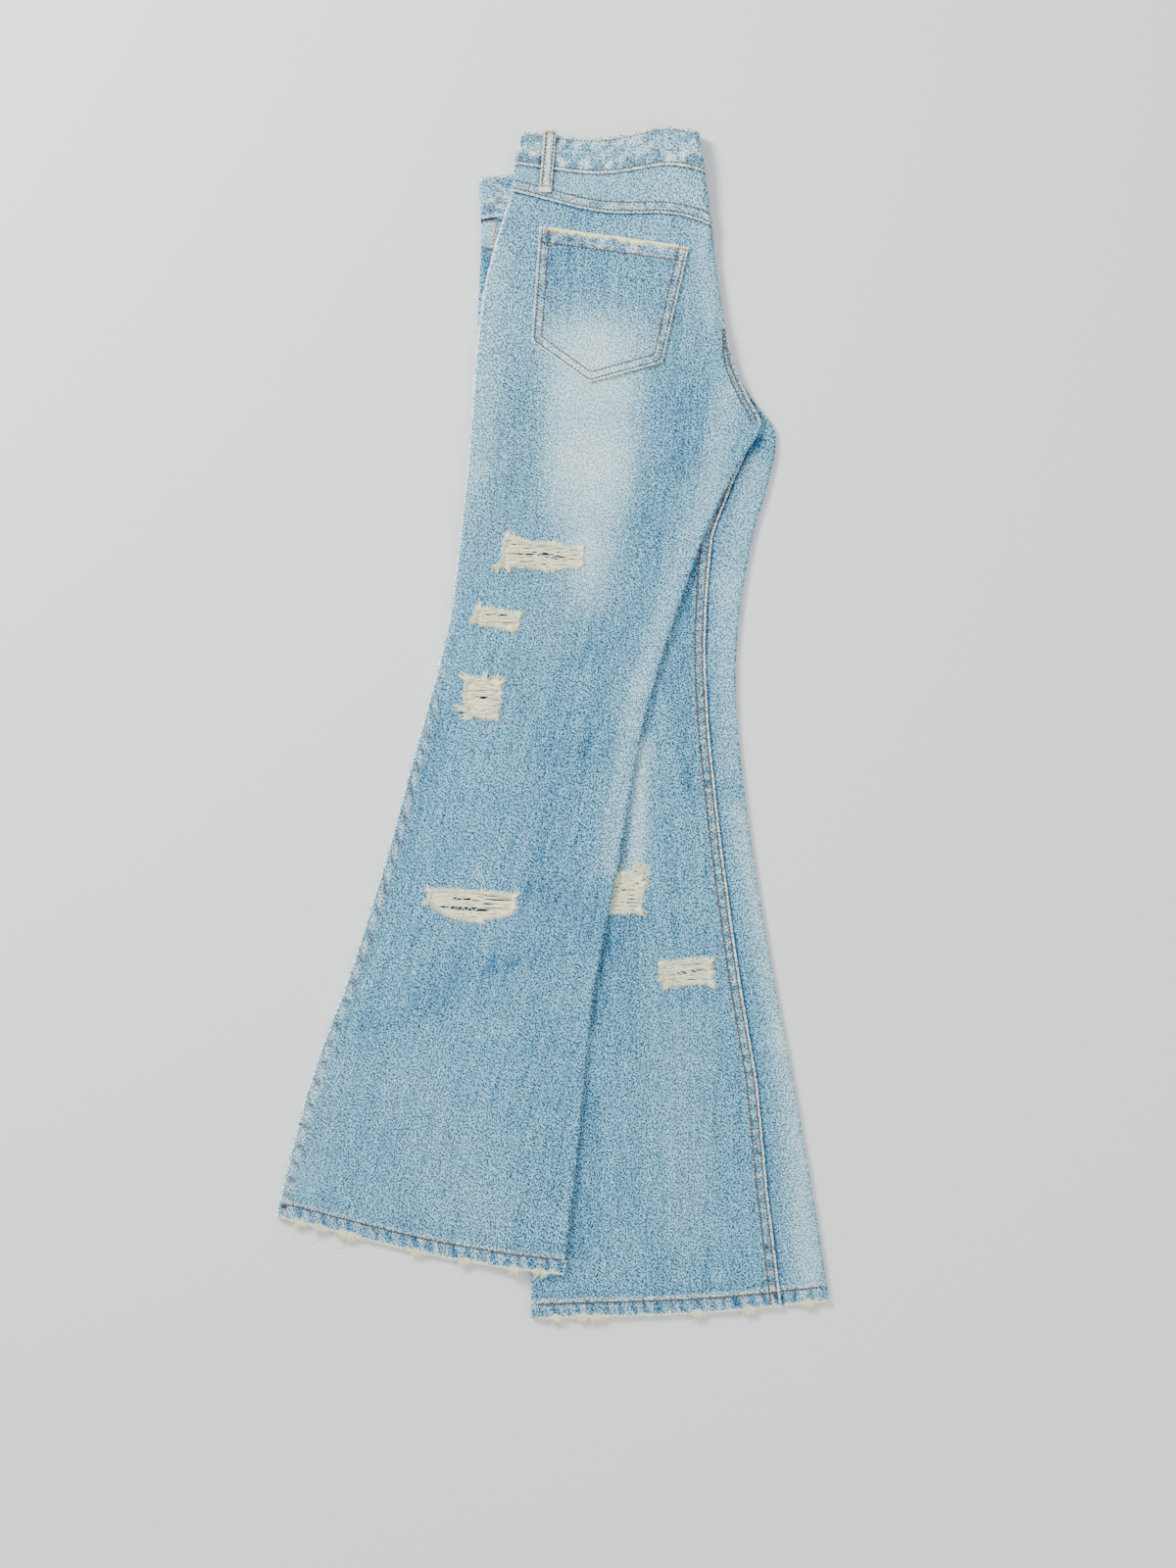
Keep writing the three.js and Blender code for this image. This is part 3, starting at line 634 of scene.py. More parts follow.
class Nodes:
    """Makes the nodes of one material"""

    def __init__(self, name):
        self.material = bpy.data.materials.new(name)
        self.material.use_nodes = True
        self.tree = self.material.node_tree
        self.tree.nodes.clear()

    def node(self, kind, settings=None, inputs=None, output=0):
        """A node of a type with its settings and the values or links of its sockets"""
        made = self.tree.nodes.new(kind)
        for name, value in (settings or {}).items():
            setattr(made, name, value)
        for name, value in (inputs or {}).items():
            socket = made.inputs[name]
            if isinstance(value, Value):
                self.tree.links.new(value.socket, socket)
            else:
                socket.default_value = value
        return Value(self, made.outputs[output])

    def attribute(self, name, output="Fac"):
        return self.node("ShaderNodeAttribute", {"attribute_name": name}, output=output)

    def noise(self, vector, scale, detail=2.0, roughness=0.5):
        return self.node("ShaderNodeTexNoise", {}, {
            "Vector": vector, "Scale": scale, "Detail": detail, "Roughness": roughness})

    def mix(self, factor, first, second):
        """Colour between two colours"""
        return self.node("ShaderNodeMix", {"data_type": "RGBA"}, {0: factor, 6: first, 7: second}, output=2)

    def scaled(self, colour, amount):
        """Colour made lighter or darker"""
        return self.node("ShaderNodeVectorMath", {"operation": "SCALE"}, {0: colour, "Scale": amount})

    def bump(self, height, distance, strength=1.0):
        return self.node("ShaderNodeBump", {}, {
            "Height": height, "Distance": distance, "Strength": strength})

    def finish(self, shader):
        output = self.tree.nodes.new("ShaderNodeOutputMaterial")
        self.tree.links.new(shader.socket, output.inputs["Surface"])
        return self.material


class Value:
    """A socket that can be used in sums"""

    def __init__(self, nodes, socket):
        self.nodes = nodes
        self.socket = socket

    def maths(self, operation, other=0.0, swap=False, clamp=False):
        first, second = (other, self) if swap else (self, other)
        return self.nodes.node("ShaderNodeMath", {"operation": operation, "use_clamp": clamp},
                               {0: first, 1: second})

    def __add__(self, other):
        return self.maths("ADD", other)

    __radd__ = __add__

    def __sub__(self, other):
        return self.maths("SUBTRACT", other)

    def __rsub__(self, other):
        return self.maths("SUBTRACT", other, swap=True)

    def __mul__(self, other):
        return self.maths("MULTIPLY", other)

    __rmul__ = __mul__

    def sine(self):
        return self.maths("SINE")

    def clamped(self):
        return self.maths("ADD", 0.0, clamp=True)


def stretched(nodes, vector, across, along, turn=0.0):
    """Cloth coordinates scaled along the weft and the warp"""
    return nodes.node("ShaderNodeMapping", {"vector_type": "POINT"}, {
        "Vector": vector, "Scale": (across, along, 1.0), "Rotation": (0.0, 0.0, turn)})


DEEP_BLUE = (0.015, 0.101, 0.215, 1)
LIGHT_BLUE = (0.245, 0.522, 0.652, 1)
FADED = (0.53, 0.665, 0.65, 1)
WORN_WHITE = (0.70, 0.78, 0.72, 1)
TWILL_PITCH = 0.0021    # metres from one diagonal rib to the next
TWILL_SLOPE = 1.35


def denim_material(name, inside=False):
    """Washed denim: twill and uneven yarns, faded, darkened and worn white where its attributes say; the dark
    attribute also carries painted shade, and the fade attribute some painted light
    """
    nodes = Nodes(name)
    cloth = nodes.attribute("cloth", "Vector")
    speckle = nodes.noise(stretched(nodes, cloth, 1.0, 0.85, 0.5), 780.0, 1.0) - 0.5
    grain = nodes.noise(stretched(nodes, cloth, 1.0, 0.7, 0.5), 430.0, 2.0) - 0.5
    slub = nodes.noise(stretched(nodes, cloth, 420.0, 45.0), 1.0, 2.0) - 0.5
    streak = nodes.noise(stretched(nodes, cloth, 150.0, 8.0), 1.0, 2.0) - 0.5
    mottle = nodes.noise(cloth, 95.0, 3.0, 0.55) - 0.5
    cloud = nodes.noise(cloth, 26.0, 2.0) - 0.5
    across = nodes.node("ShaderNodeSeparateXYZ", {}, {0: cloth})
    along = nodes.node("ShaderNodeSeparateXYZ", {}, {0: cloth}, output=1)
    twill = ((across + along * TWILL_SLOPE) * (TURN / TWILL_PITCH)).sine()
    fade_and_light = nodes.attribute("fade_and_light")
    dark_and_shade = nodes.attribute("dark_and_shade")
    worn = nodes.attribute("worn")
    tone = 0.5 + slub * 0.75 + grain * 0.5 + mottle * 0.4 + cloud * 0.2 + streak * 0.55
    tone = tone + fade_and_light * 0.36 - dark_and_shade * 0.36 + (0.38 if inside else 0.0)
    colour = nodes.mix(tone.clamped(), DEEP_BLUE, LIGHT_BLUE)
    faded = (fade_and_light * (0.5 + mottle * 0.6 + grain * 0.6)).clamped()
    colour = nodes.mix(faded, colour, FADED)
    rubbed = (worn * (0.95 + grain * 1.6 + mottle * 1.1)).clamped()
    colour = nodes.mix(rubbed, colour, WORN_WHITE)
    yarns = (0.5 + speckle * 7.0 + grain * 1.4 + twill * 0.1).clamped()
    contrast = 0.84 - fade_and_light.clamped() * 0.34 - rubbed * 0.28
    # painted shade: past a level the dark attribute darkens the colour towards black, for painted shadows and
    # seam shadow lines
    shadow = (dark_and_shade * 0.8 - 1.2).clamped()
    colour = nodes.scaled(colour, (1.0 + (yarns - 0.5) * 2.0 * contrast) * (1.0 - shadow * 0.85))
    height = yarns * 0.5 + grain * 0.8 + slub * 0.4
    shader = nodes.node("ShaderNodeBsdfPrincipled", {}, {
        "Base Color": colour, "Roughness": 0.95, "Sheen Weight": 0.03, "Sheen Roughness": 0.5,
        "Specular IOR Level": 0.12, "Normal": nodes.bump(height, 0.0004, 0.7)})
    return nodes.finish(shader)


def thread_material(name, light, dark, scale=900.0):
    """Spun yarn, uneven along its length"""
    nodes = Nodes(name)
    place = nodes.node("ShaderNodeTexCoord", {}, output="Object")
    fibre = nodes.noise(stretched(nodes, place, 0.2, 1.0), scale, 2.0, 0.6)
    patch = nodes.noise(place, 200.0, 2.0)
    colour = nodes.mix((fibre * 2.4 + patch * 1.2 - 1.2).clamped(), dark, light)
    shader = nodes.node("ShaderNodeBsdfPrincipled", {}, {
        "Base Color": colour, "Roughness": 0.9, "Sheen Weight": 0.15, "Specular IOR Level": 0.2,
        "Normal": nodes.bump(fibre, 0.0003, 0.6)})
    return nodes.finish(shader)


def metal_material(name):
    nodes = Nodes(name)
    place = nodes.node("ShaderNodeTexCoord", {}, output="Object")
    tarnish = nodes.noise(place, 260.0, 4.0, 0.6)
    colour = nodes.mix(tarnish, (0.20, 0.15, 0.09, 1), (0.52, 0.43, 0.30, 1))
    shader = nodes.node("ShaderNodeBsdfPrincipled", {}, {
        "Base Color": colour, "Metallic": 1.0, "Roughness": tarnish * 0.3 + 0.3,
        "Normal": nodes.bump(tarnish, 0.0002, 0.5)})
    return nodes.finish(shader)


DENIM_FINISH = denim_material("washed_denim")
INSIDE_FINISH = denim_material("denim_inside", inside=True)
WEFT_FINISH = thread_material("weft_yarn", (1.0, 0.98, 0.70, 1), (0.76, 0.71, 0.43, 1))
WARP_FINISH = thread_material("warp_ends", (0.86, 0.94, 0.95, 1), (0.25, 0.47, 0.60, 1))
STITCH_FINISH = thread_material("topstitch", (0.15, 0.10, 0.055, 1), (0.045, 0.034, 0.024, 1))
TACK_FINISH = thread_material("bar_tack", (0.72, 0.33, 0.10, 1), (0.45, 0.19, 0.06, 1))


# Every sheet by its label, and its whole outer face, which the threads are laid on
surfaces = {}
SHARP = math.radians(50)


def select_only(piece):
    bpy.ops.object.select_all(action="DESELECT")
    piece.select_set(True)
    bpy.context.view_layer.objects.active = piece


def grid_piece(name, outer, outs):
    """A grid of faces through points in millimetres, turned the way that outs point"""
    rows, columns = outer.shape[:2]
    bpy.ops.object.select_all(action="DESELECT")
    bpy.ops.mesh.primitive_grid_add(x_subdivisions=columns - 1, y_subdivisions=rows - 1, size=2)
    piece = bpy.context.object
    piece.name = name
    mesh = piece.data
    mesh.name = name
    mesh.vertices.foreach_set("co", (outer.reshape(-1, 3) * MM).ravel())
    mesh.update()
    middle_face = (rows // 2) * (columns - 1) + columns // 2
    middle_point = (rows // 2) * columns + columns // 2
    if np.array(mesh.polygons[middle_face].normal) @ outs.reshape(-1, 3)[middle_point] < 0:
        mesh.flip_normals()
    return piece


def paint(mesh, tones, cloth):
    """Stores the tones of each point, painted light and shade among them, and its place on the cloth, for the
    finish to read
    """
    for label, values in tones.items():
        layer = mesh.attributes.new(label, "FLOAT", "POINT")
        layer.data.foreach_set("value", np.ravel(values).astype(np.float32))
    layer = mesh.attributes.new("cloth", "FLOAT_VECTOR", "POINT")
    layer.data.foreach_set("vector", (cloth.reshape(-1, 3) * MM).astype(np.float32).ravel())


def give_wall(piece, thickness, hem):
    """Thickens a sheet inwards, by a little more where it is a turned hem"""
    wall = piece.modifiers.new("wall", "SOLIDIFY")
    wall.thickness = thickness * MM
    wall.offset = -1
    wall.material_offset = 1
    if hem is not None:
        group = piece.vertex_groups.new(name="hem")
        for index in np.flatnonzero(hem):
            # The rips have taken some points out, so the last numbers may be past the end
            if index < len(piece.data.vertices):
                group.add([int(index)], 1.0, "REPLACE")
        wall.vertex_group = "hem"
        wall.thickness = (thickness + HEM_EXTRA) * MM
        wall.thickness_vertex_group = thickness / (thickness + HEM_EXTRA)
    select_only(piece)
    bpy.ops.object.modifier_apply(modifier="wall")


def round_rim(piece, width):
    rim = piece.modifiers.new("rim", "BEVEL")
    rim.width = width * MM
    rim.segments = 2
    rim.limit_method = "ANGLE"
    rim.angle_limit = SHARP
    bpy.ops.object.modifier_apply(modifier="rim")


def cloth_sheet(label, node, points, outs, relief, cloth, tones,
                thickness=DENIM, hem=None, rips=None, rim=0.0):
    """A sheet of cloth in place of a node, from a grid of points in millimetres on the middle of its wall"""
    name = label + "_cloth"
    outer = points + outs * relief[..., None] + outs * (thickness / 2)
    piece = grid_piece(name, outer, outs)
    mesh = piece.data
    paint(mesh, tones, cloth)
    surfaces[label] = BVHTree.FromPolygons([tuple(v) for v in outer.reshape(-1, 3)],
                                           [tuple(p.vertices) for p in mesh.polygons])
    if rips:
        open_rips(mesh, rips)
    mesh.materials.append(DENIM_FINISH)
    mesh.materials.append(INSIDE_FINISH)
    give_wall(piece, thickness, hem)
    if rim:
        round_rim(piece, rim)
    bpy.ops.object.shade_smooth_by_angle(angle=SHARP)
    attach(piece, "root")
    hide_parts(node)


def open_rips(mesh, rips):
    """Takes out the cloth inside each rip and brings the cut edge onto its outline"""
    work = bmesh.new()
    work.from_mesh(mesh)
    work.faces.ensure_lookup_table()
    centres = np.array([face.calc_center_median() for face in work.faces]) / MM
    upwards = np.array([face.normal.z > 0.5 for face in work.faces])
    for rip in rips.values():
        outline = rip_outline(rip)
        distance, _, _ = outline_distance(outline, centres[:, 0], centres[:, 1] + CENTRE_Y)
        rip["faces"] = np.flatnonzero((distance < 0) & upwards)
    faces = list(work.faces)
    for rip in rips.values():
        gone = [faces[index] for index in rip["faces"]]
        rim = {vertex for face in gone for vertex in face.verts}
        bmesh.ops.delete(work, geom=gone, context="FACES")
        outline = rip_outline(rip)
        for vertex in rim:
            if vertex.is_valid and vertex.is_boundary:
                x, y = vertex.co.x / MM, vertex.co.y / MM + CENTRE_Y
                _, near_x, near_y = outline_distance(outline, np.array(x), np.array(y))
                vertex.co.x = float(near_x) * MM
                vertex.co.y = (float(near_y) - CENTRE_Y) * MM
    work.to_mesh(mesh)
    work.free()


def cloth_place(station, across, half):
    """Cloth coordinates: across the weft and down the warp, in millimetres"""
    dense = np.linspace(0, HEM, 300)
    middle = plan(half, dense, section(half, dense)[2] / 2)
    along = np.interp(station, dense, lengths_along(middle))
    return np.stack([across, -along, np.zeros_like(along)], -1)


# From pucker to pucker along a hem, an outseam and an inseam
HEM_ROPE, OUTSEAM_ROPE, INSEAM_ROPE = 12.5, 14, 15


def roping(across, above_hem, seed):
    """Puckers of a turned and washed hem, between -1 and 1"""
    lean = across + above_hem * 0.3
    wander = ripple(lean, above_hem * 0 + seed, 19, seed) * 6
    wave = np.clip(1.5 * np.sin((lean + wander) * TURN / HEM_ROPE), -1, 1)
    uneven = 0.62 + 0.55 * ripple(across, above_hem, 14, seed + 1)
    inside = smooth(above_hem, 1, 4) * (1 - smooth(above_hem, HEM_DEPTH - 2.5, HEM_DEPTH + 0.5))
    return wave * inside * uneven


def hem_groove(above_hem):
    """The cloth sinks along the top of a turned hem"""
    return bell(above_hem - HEM_DEPTH - 1.2, 1.2)


def hem_wear(above_hem, rope, edge, line):
    """White wear on a hem's edge, on its puckers and along the top of its turned cloth"""
    return edge * bell(above_hem, 2.2) + 0.4 * raised(rope) + line * bell(above_hem - HEM_DEPTH - 1.5, 1.6)


def waver(points, amount):
    """Unevenness of cloth that has been worn and laid down"""
    x, y = points[..., 0], points[..., 1]
    return amount * (ripple(x, y, 46, 1.7) + 0.45 * ripple(x, y, 17, 4.1))


# Two more rows of faces under the yoke's seam, for its painted shadow line, and a station's length there and
# at the hem
YOKE_SHADOW_ROWS = np.array([0.03, 0.06])
STATION_AT_YOKE, STATION_AT_HEM = 40, 80


def left_back_leg():
    zones, shares = back_columns((3, 6, 0, 8, 6), shares_between((0, 0.06, 0.94, 1), (7, 65, 7))[:-1])
    rows = leg_rows(UPPER, YOKE_SEAM)
    rows = np.concatenate([rows[:1], rows[0] + YOKE_SHADOW_ROWS, rows[1:]])
    points, outs, station, inward, length, zone = back_panel(UPPER, rows, zones, shares)
    x, y = plan_of(points)
    across = np.select([zone == UNDER_OUTER, zone == UNDER_INNER], [-inward, 2 * length - inward], inward)
    above_hem = hem_distance(UPPER, station, inward, length)
    in_hem = above_hem < HEM_DEPTH
    on_top = (zone >= OUTER_EDGE) & (zone <= INNER_EDGE) & (outs[..., 2] > 0.2)
    rope = roping(across, above_hem, 3.0)
    outseam = smooth(station, 9.5, 12) * bell(inward - 6.5, 2.8) * (zone >= OUTER_EDGE)
    outseam_rope = outseam * np.sin(above_hem * TURN / OUTSEAM_ROPE + 1.6 * ripple(x, y, 30, 9.0))
    seat = smooth(station, 3.6, 4.6) * (1 - smooth(station, 6.9, 7.1))
    seat_band = seat * bell(length - inward - 5.5, 4.5) * (zone >= FLAT)
    seat_ridge = seat * bell(length - inward - 0.8, 1.3) * (zone >= FLAT)
    relief = waver(points, 0.32) + 0.42 * rope * on_top + 0.55 * outseam + 0.35 * outseam_rope
    relief = relief + 0.5 * seat_band + 0.35 * seat_ridge - 0.7 * hem_groove(above_hem) * on_top
    relief = np.where(on_top, relief + HEM_EXTRA * in_hem, 0)
    worn = hem_wear(above_hem, rope, 0.75, 0.2625) + 0.95 * bell(inward, 1.5) * (zone == OUTER_EDGE)
    worn = worn + 0.3 * outseam + 0.2 * raised(outseam_rope) + 0.8 * seat_ridge
    worn = np.maximum(worn, rip_wear_and_shade(UPPER_RIPS, x, y) * on_top)
    # painted shade in the hollows of the hem's and the outseam's puckers
    dark_and_shade = dark_and_shade_strokes(UPPER, x, y) + 1.4 * sunk(rope) + 2.7 * sunk(outseam_rope) + 0.3 * seat_band
    dark_and_shade = dark_and_shade + 0.2 * bell(above_hem - HEM_DEPTH - 6, 5)
    # painted shadow line under the yoke's seam
    dark_and_shade = dark_and_shade + 2.4 * bell((station - YOKE_SEAM) * STATION_AT_YOKE - 0.3, 1.2)
    tones = {"fade_and_light": fade_and_light_strokes(UPPER, x, y), "dark_and_shade": dark_and_shade, "worn": raised(worn)}
    cloth = cloth_place(station, across, UPPER)
    cloth_sheet("left_back", "left_back_leg", points, outs, relief, cloth, tones,
                hem=in_hem & on_top, rips=UPPER_RIPS)


def right_back_leg():
    zones, shares = back_columns((2, 6, 14, 9, 16))
    rows = leg_rows(LOWER, YOKE_SEAM)
    points, outs, station, inward, length, zone = back_panel(LOWER, rows, zones, shares)
    x, y = plan_of(points)
    across = np.where(zone == UNDER_INNER, 2 * length - inward, inward)
    above_hem = hem_distance(LOWER, station, inward, length)
    rope = roping(across, above_hem, 6.0)
    on_top = (zone == UNDER_INNER) | ((zone == INNER_EDGE) & (outs[..., 2] > 0.3))
    from_ridge = np.where(zone == UNDER_INNER, (1 - shares) * inseam_return(LOWER, station), 30)
    relief = np.where(on_top, waver(points, 0.2) + 0.4 * rope, 0)
    relief = relief - 0.6 * bell(from_ridge, 3) * on_top
    # painted shade in the hollows of the hem's puckers, and a painted shadow line beside the inseam ridge
    dark_and_shade = dark_and_shade_strokes(LOWER, x, y) + 1.4 * sunk(rope) + 1.7 * bell(from_ridge, 2.0)
    worn = hem_wear(above_hem, rope, 0.8, 0.4)
    tones = {"fade_and_light": fade_and_light_strokes(LOWER, x, y), "dark_and_shade": dark_and_shade, "worn": raised(worn)}
    cloth = cloth_place(station, across, LOWER)
    cloth_sheet("right_back", "right_back_leg", points, outs, relief, cloth, tones)


def right_front_leg():
    shares = shares_between((0, 0.9, 1), (47, 15))
    points, outs, station, inward, from_seam = front_panel(LOWER, leg_rows(LOWER, BAND_SEAM), shares)
    x, y = plan_of(points)
    above_hem = hem_distance(LOWER, station, inward, section(LOWER, station)[2])
    in_hem = above_hem < HEM_DEPTH
    rope = roping(inward, above_hem, 8.0)
    seam = leg_share(station) * (1 - smooth(from_seam, 9, 13))
    ridge = leg_share(station) * bell(from_seam - 0.8, 1.1)
    seam_rope = seam * np.sin(above_hem * TURN / INSEAM_ROPE + 2 * ripple(x, y, 25, 2.0))
    relief = waver(points, 0.15) * smooth(station, 7, 9) + 0.42 * rope
    relief = relief + 0.35 * seam + 0.75 * ridge + 0.16 * seam_rope
    relief = relief - 0.6 * hem_groove(above_hem) + HEM_EXTRA * in_hem
    worn = hem_wear(above_hem, rope, 0.75, 0.5) + 0.85 * ridge + 0.35 * raised(seam_rope)
    worn = np.maximum(worn, rip_wear_and_shade(LOWER_RIPS, x, y))
    # painted shade in the hollows of the hem's and the inseam's puckers
    dark_and_shade = dark_and_shade_strokes(LOWER, x, y) + 1.4 * sunk(rope) + 0.5 * sunk(seam_rope)
    dark_and_shade = dark_and_shade + 0.3 * bell(above_hem - HEM_DEPTH - 6, 5) + 0.2 * (1 - smooth(station, 2.0, 2.3))
    tones = {"fade_and_light": fade_and_light_strokes(LOWER, x, y), "dark_and_shade": dark_and_shade, "worn": raised(worn)}
    cloth = cloth_place(station, inward, LOWER)
    cloth_sheet("right_front", "right_front_leg", points, outs, relief, cloth, tones,
                hem=in_hem, rips=LOWER_RIPS)


def left_front_leg():
    """Plain, with painted shade where the rips show it"""
    rows = rows_by_length(UPPER, BAND_SEAM + SEAM_TRIM, float(HEM), PLAIN_ROW)
    points, outs, station, inward, _ = front_panel(UPPER, rows, np.linspace(0, 1, 34))
    x, y = plan_of(points)
    # painted shade: darkened round the rips above, where this sheet shows through them
    dark_and_shade = 3.2 * rip_wear_and_shade(UPPER_RIPS, x, y)
    worn = 0.8 * bell((HEM - station) * STATION_AT_HEM, 3)
    tones = {"fade_and_light": 0 * x, "dark_and_shade": dark_and_shade, "worn": worn}
    cloth = cloth_place(station, inward, UPPER)
    cloth_sheet("left_front", "left_front_leg", points, outs, 0 * x, cloth, tones)


def yoke(half, side):
    zones, shares = back_columns((4, 6, 0, 8, 2), shares_between((0, 1), (60,))[:-1])
    rows = rows_by_length(half, BAND_SEAM + SEAM_TRIM, YOKE_SEAM - SEAM_TRIM, YOKE_ROW)
    points, outs, station, inward, _, _ = back_panel(half, rows, zones, shares)
    x, y = plan_of(points)
    foot = plan(half, np.full_like(station, YOKE_SEAM), inward)
    top = plan(half, np.full_like(station, BAND_SEAM), inward)
    span = np.linalg.norm(foot - top, axis=-1)
    above_seam = (YOKE_SEAM - station) * span
    allowance = 1 - smooth(above_seam, 10, 14)
    pucker = allowance * smooth(above_seam, 1, 3) * blotches(inward, above_seam, 9, 5.0)
    ridge = bell(above_seam - 1.0, 1.0)
    relief = 0.45 * allowance + 0.55 * ridge + 0.16 * pucker + waver(points, 0.15)
    relief = np.where((half is UPPER) & (outs[..., 2] > -0.5), relief, 0)
    # painted shade in the hollows of the puckers, and a painted shadow line under the waistband's seam
    dark_and_shade = 0.7 * sunk(pucker) + 2.4 * bell((station - BAND_SEAM) * span - 0.3, 1.3) + dark_and_shade_strokes(half, x, y)
    worn = 0.7 * ridge + 0.4 * raised(pucker)
    tones = {"fade_and_light": 0.15 + fade_and_light_strokes(half, x, y), "dark_and_shade": dark_and_shade, "worn": raised(worn)}
    cloth = cloth_place(station, inward, half)
    cloth_sheet(side + "_yoke", side + "_yoke", points, outs, relief, cloth, tones)


def waistband():
    points, outs, station = band_panel(np.linspace(SEAM_TRIM, BAND_SEAM - SEAM_TRIM, 20))
    x, y = plan_of(points)
    steps = np.linalg.norm(np.diff(points, axis=1), axis=-1)
    across = np.concatenate([0 * x[:, :1], np.cumsum(steps, axis=1)], axis=1)
    from_top = station * BAND_HEIGHT
    from_seam = (BAND_SEAM - station) * BAND_HEIGHT
    patches = blotches(across, from_top, 8.5, 7.0)
    low = patches * bell(from_seam - 8, 7)
    high = patches * bell(from_top - 7, 7) * 0.8
    rolled = bell(from_seam - 1.0, 1.1)
    relief = 0.28 * low + 0.22 * high + 0.4 * rolled - 0.35 * bell(from_seam - 4, 1.3)
    relief = relief - 0.25 * bell(from_top - 3, 1.2)
    relief = np.where(outs[..., 2] > -0.3, relief, 0)
    worn = 0.8 * rolled + 0.95 * raised(low) + 0.8 * raised(high) + 0.95 * bell(from_top, 2.2)
    # painted shade in the hollows of the puckers and in the groove near the seam
    dark_and_shade = 1.1 * sunk(low) + 1.0 * sunk(high) + 0.8 * bell(from_seam - 4, 1.2) + dark_and_shade_strokes(UPPER, x, y)
    tones = {"fade_and_light": 0.25 + 0 * x, "dark_and_shade": dark_and_shade, "worn": raised(worn)}
    cloth = np.stack([-from_top, across, 0 * x], -1)
    cloth_sheet("waistband", "waistband", points, outs, relief, cloth, tones, thickness=BAND, rim=0.7)


def pocket_plan(across, down):
    """Plan place at shares of the way across a pocket and down it"""
    left, tip, right = np.array(POCKET_FOOT, float)
    start, end = np.array(POCKET_TOP, float)
    across, down = across[..., None], down[..., None]
    to_tip = lerp(left, tip, across / POCKET_TIP_SHARE)
    from_tip = lerp(tip, right, (across - POCKET_TIP_SHARE) / (1 - POCKET_TIP_SHARE))
    foot = np.where(across < POCKET_TIP_SHARE, to_tip, from_tip)
    place = lerp(lerp(start, end, across), foot, down)
    return place[..., 0], place[..., 1]


def pocket_border(x, y):
    """Distance in from the pocket's sides and foot, and from its top"""
    (ax, ay), (bx, by) = POCKET_TOP
    side = np.full(np.shape(x), FAR)
    for start, end in zip(POCKET_CORNERS, POCKET_CORNERS[1:]):
        side = np.minimum(side, nearest_on_line(x, y, start, end)[2])
    top = np.abs((bx - ax) * (y - ay) - (by - ay) * (x - ax)) / math.hypot(bx - ax, by - ay)
    return side, top


def twin_place(station, inward, length):
    """Plan place on the right half, for a place on the left half"""
    return plan(LOWER, station, section(LOWER, station)[2] * inward / length)


def trim_sheet(label, node, points, up, cloth, tones, thickness, rim):
    """A small flat sheet whose face looks straight up or straight down"""
    outs = np.broadcast_to([0.0, 0.0, up], points.shape)
    cloth_sheet(label, node, points, outs, 0 * points[..., 0], cloth, tones, thickness=thickness, rim=rim)


def pocket(side_name):
    """The left back pocket lies on its leg, and the right one is its twin on the underside"""
    across = shares_between((0, POCKET_TIP_SHARE, 1), (33, 41))
    down, across = np.meshgrid(np.linspace(0, 1, 66), across, indexing="ij")
    x, y = pocket_plan(across, down)
    station, inward, length = locate(UPPER, x, y)
    side, top = pocket_border(x, y)
    allowance = np.maximum(1 - smooth(side, 9, 11.5), 1 - smooth(top, POCKET_HEM, POCKET_HEM + 2))
    rim = np.maximum(bell(side - 0.6, 1.2), 0.7 * bell(top, 1.5))
    patches = blotches(x, y, 8, 3.0)
    pucker_top = (1 - smooth(top, POCKET_HEM - 1, POCKET_HEM + 2)) * patches
    pucker_side = (1 - smooth(side, 8.5, 11)) * patches
    stitch_dents = 0.25 * bell(side - POCKET_ROWS[1], 0.9) + 0.2 * bell(side - POCKET_ROWS[0], 0.9)
    relief = 0.4 * allowance + 0.3 * rim + 0.14 * (pucker_top + pucker_side)
    relief = relief - stitch_dents + 0.25 * ripple(x, y, 34, 8.0)
    ragged = 1.6 + 2.2 * raised(blotches(x, y, 7, 9.0))
    worn = 0.7 * bell(side, 0.9) + 0.45 * raised(pucker_top) + 0.3 * raised(pucker_side)
    worn = worn + 0.9 * bell(top, ragged) + 0.08 * allowance
    # painted shade in the hollows of the puckers
    dark_and_shade = 0.95 * sunk(pucker_top) + 0.6 * sunk(pucker_side) + dark_and_shade_strokes(UPPER, x, y)
    dark_and_shade = dark_and_shade + 0.3 * bell(top - POCKET_HEM - 4, 4) + 0.15 * bell(side - 13, 4)
    tones = {"fade_and_light": fade_and_light_strokes(UPPER, x, y), "dark_and_shade": dark_and_shade, "worn": raised(worn)}
    if side_name == "left":
        level = levels(UPPER, station, inward)[0] + DENIM / 2
        points = in_space(x, y, level + POCKET_LAY + POCKET_CLOTH / 2 + np.clip(relief, -0.4, 2))
    else:
        under = twin_place(station, inward, length)
        points = in_space(under[..., 0], under[..., 1], 0 * x + POCKET_CLOTH / 2)
    up = 1.0 if side_name == "left" else -1.0
    cloth = np.stack([x, y, 0 * x], -1)
    trim_sheet(side_name + "_pocket", side_name + "_back_pocket", points, up, cloth, tones, POCKET_CLOTH, 0.4)


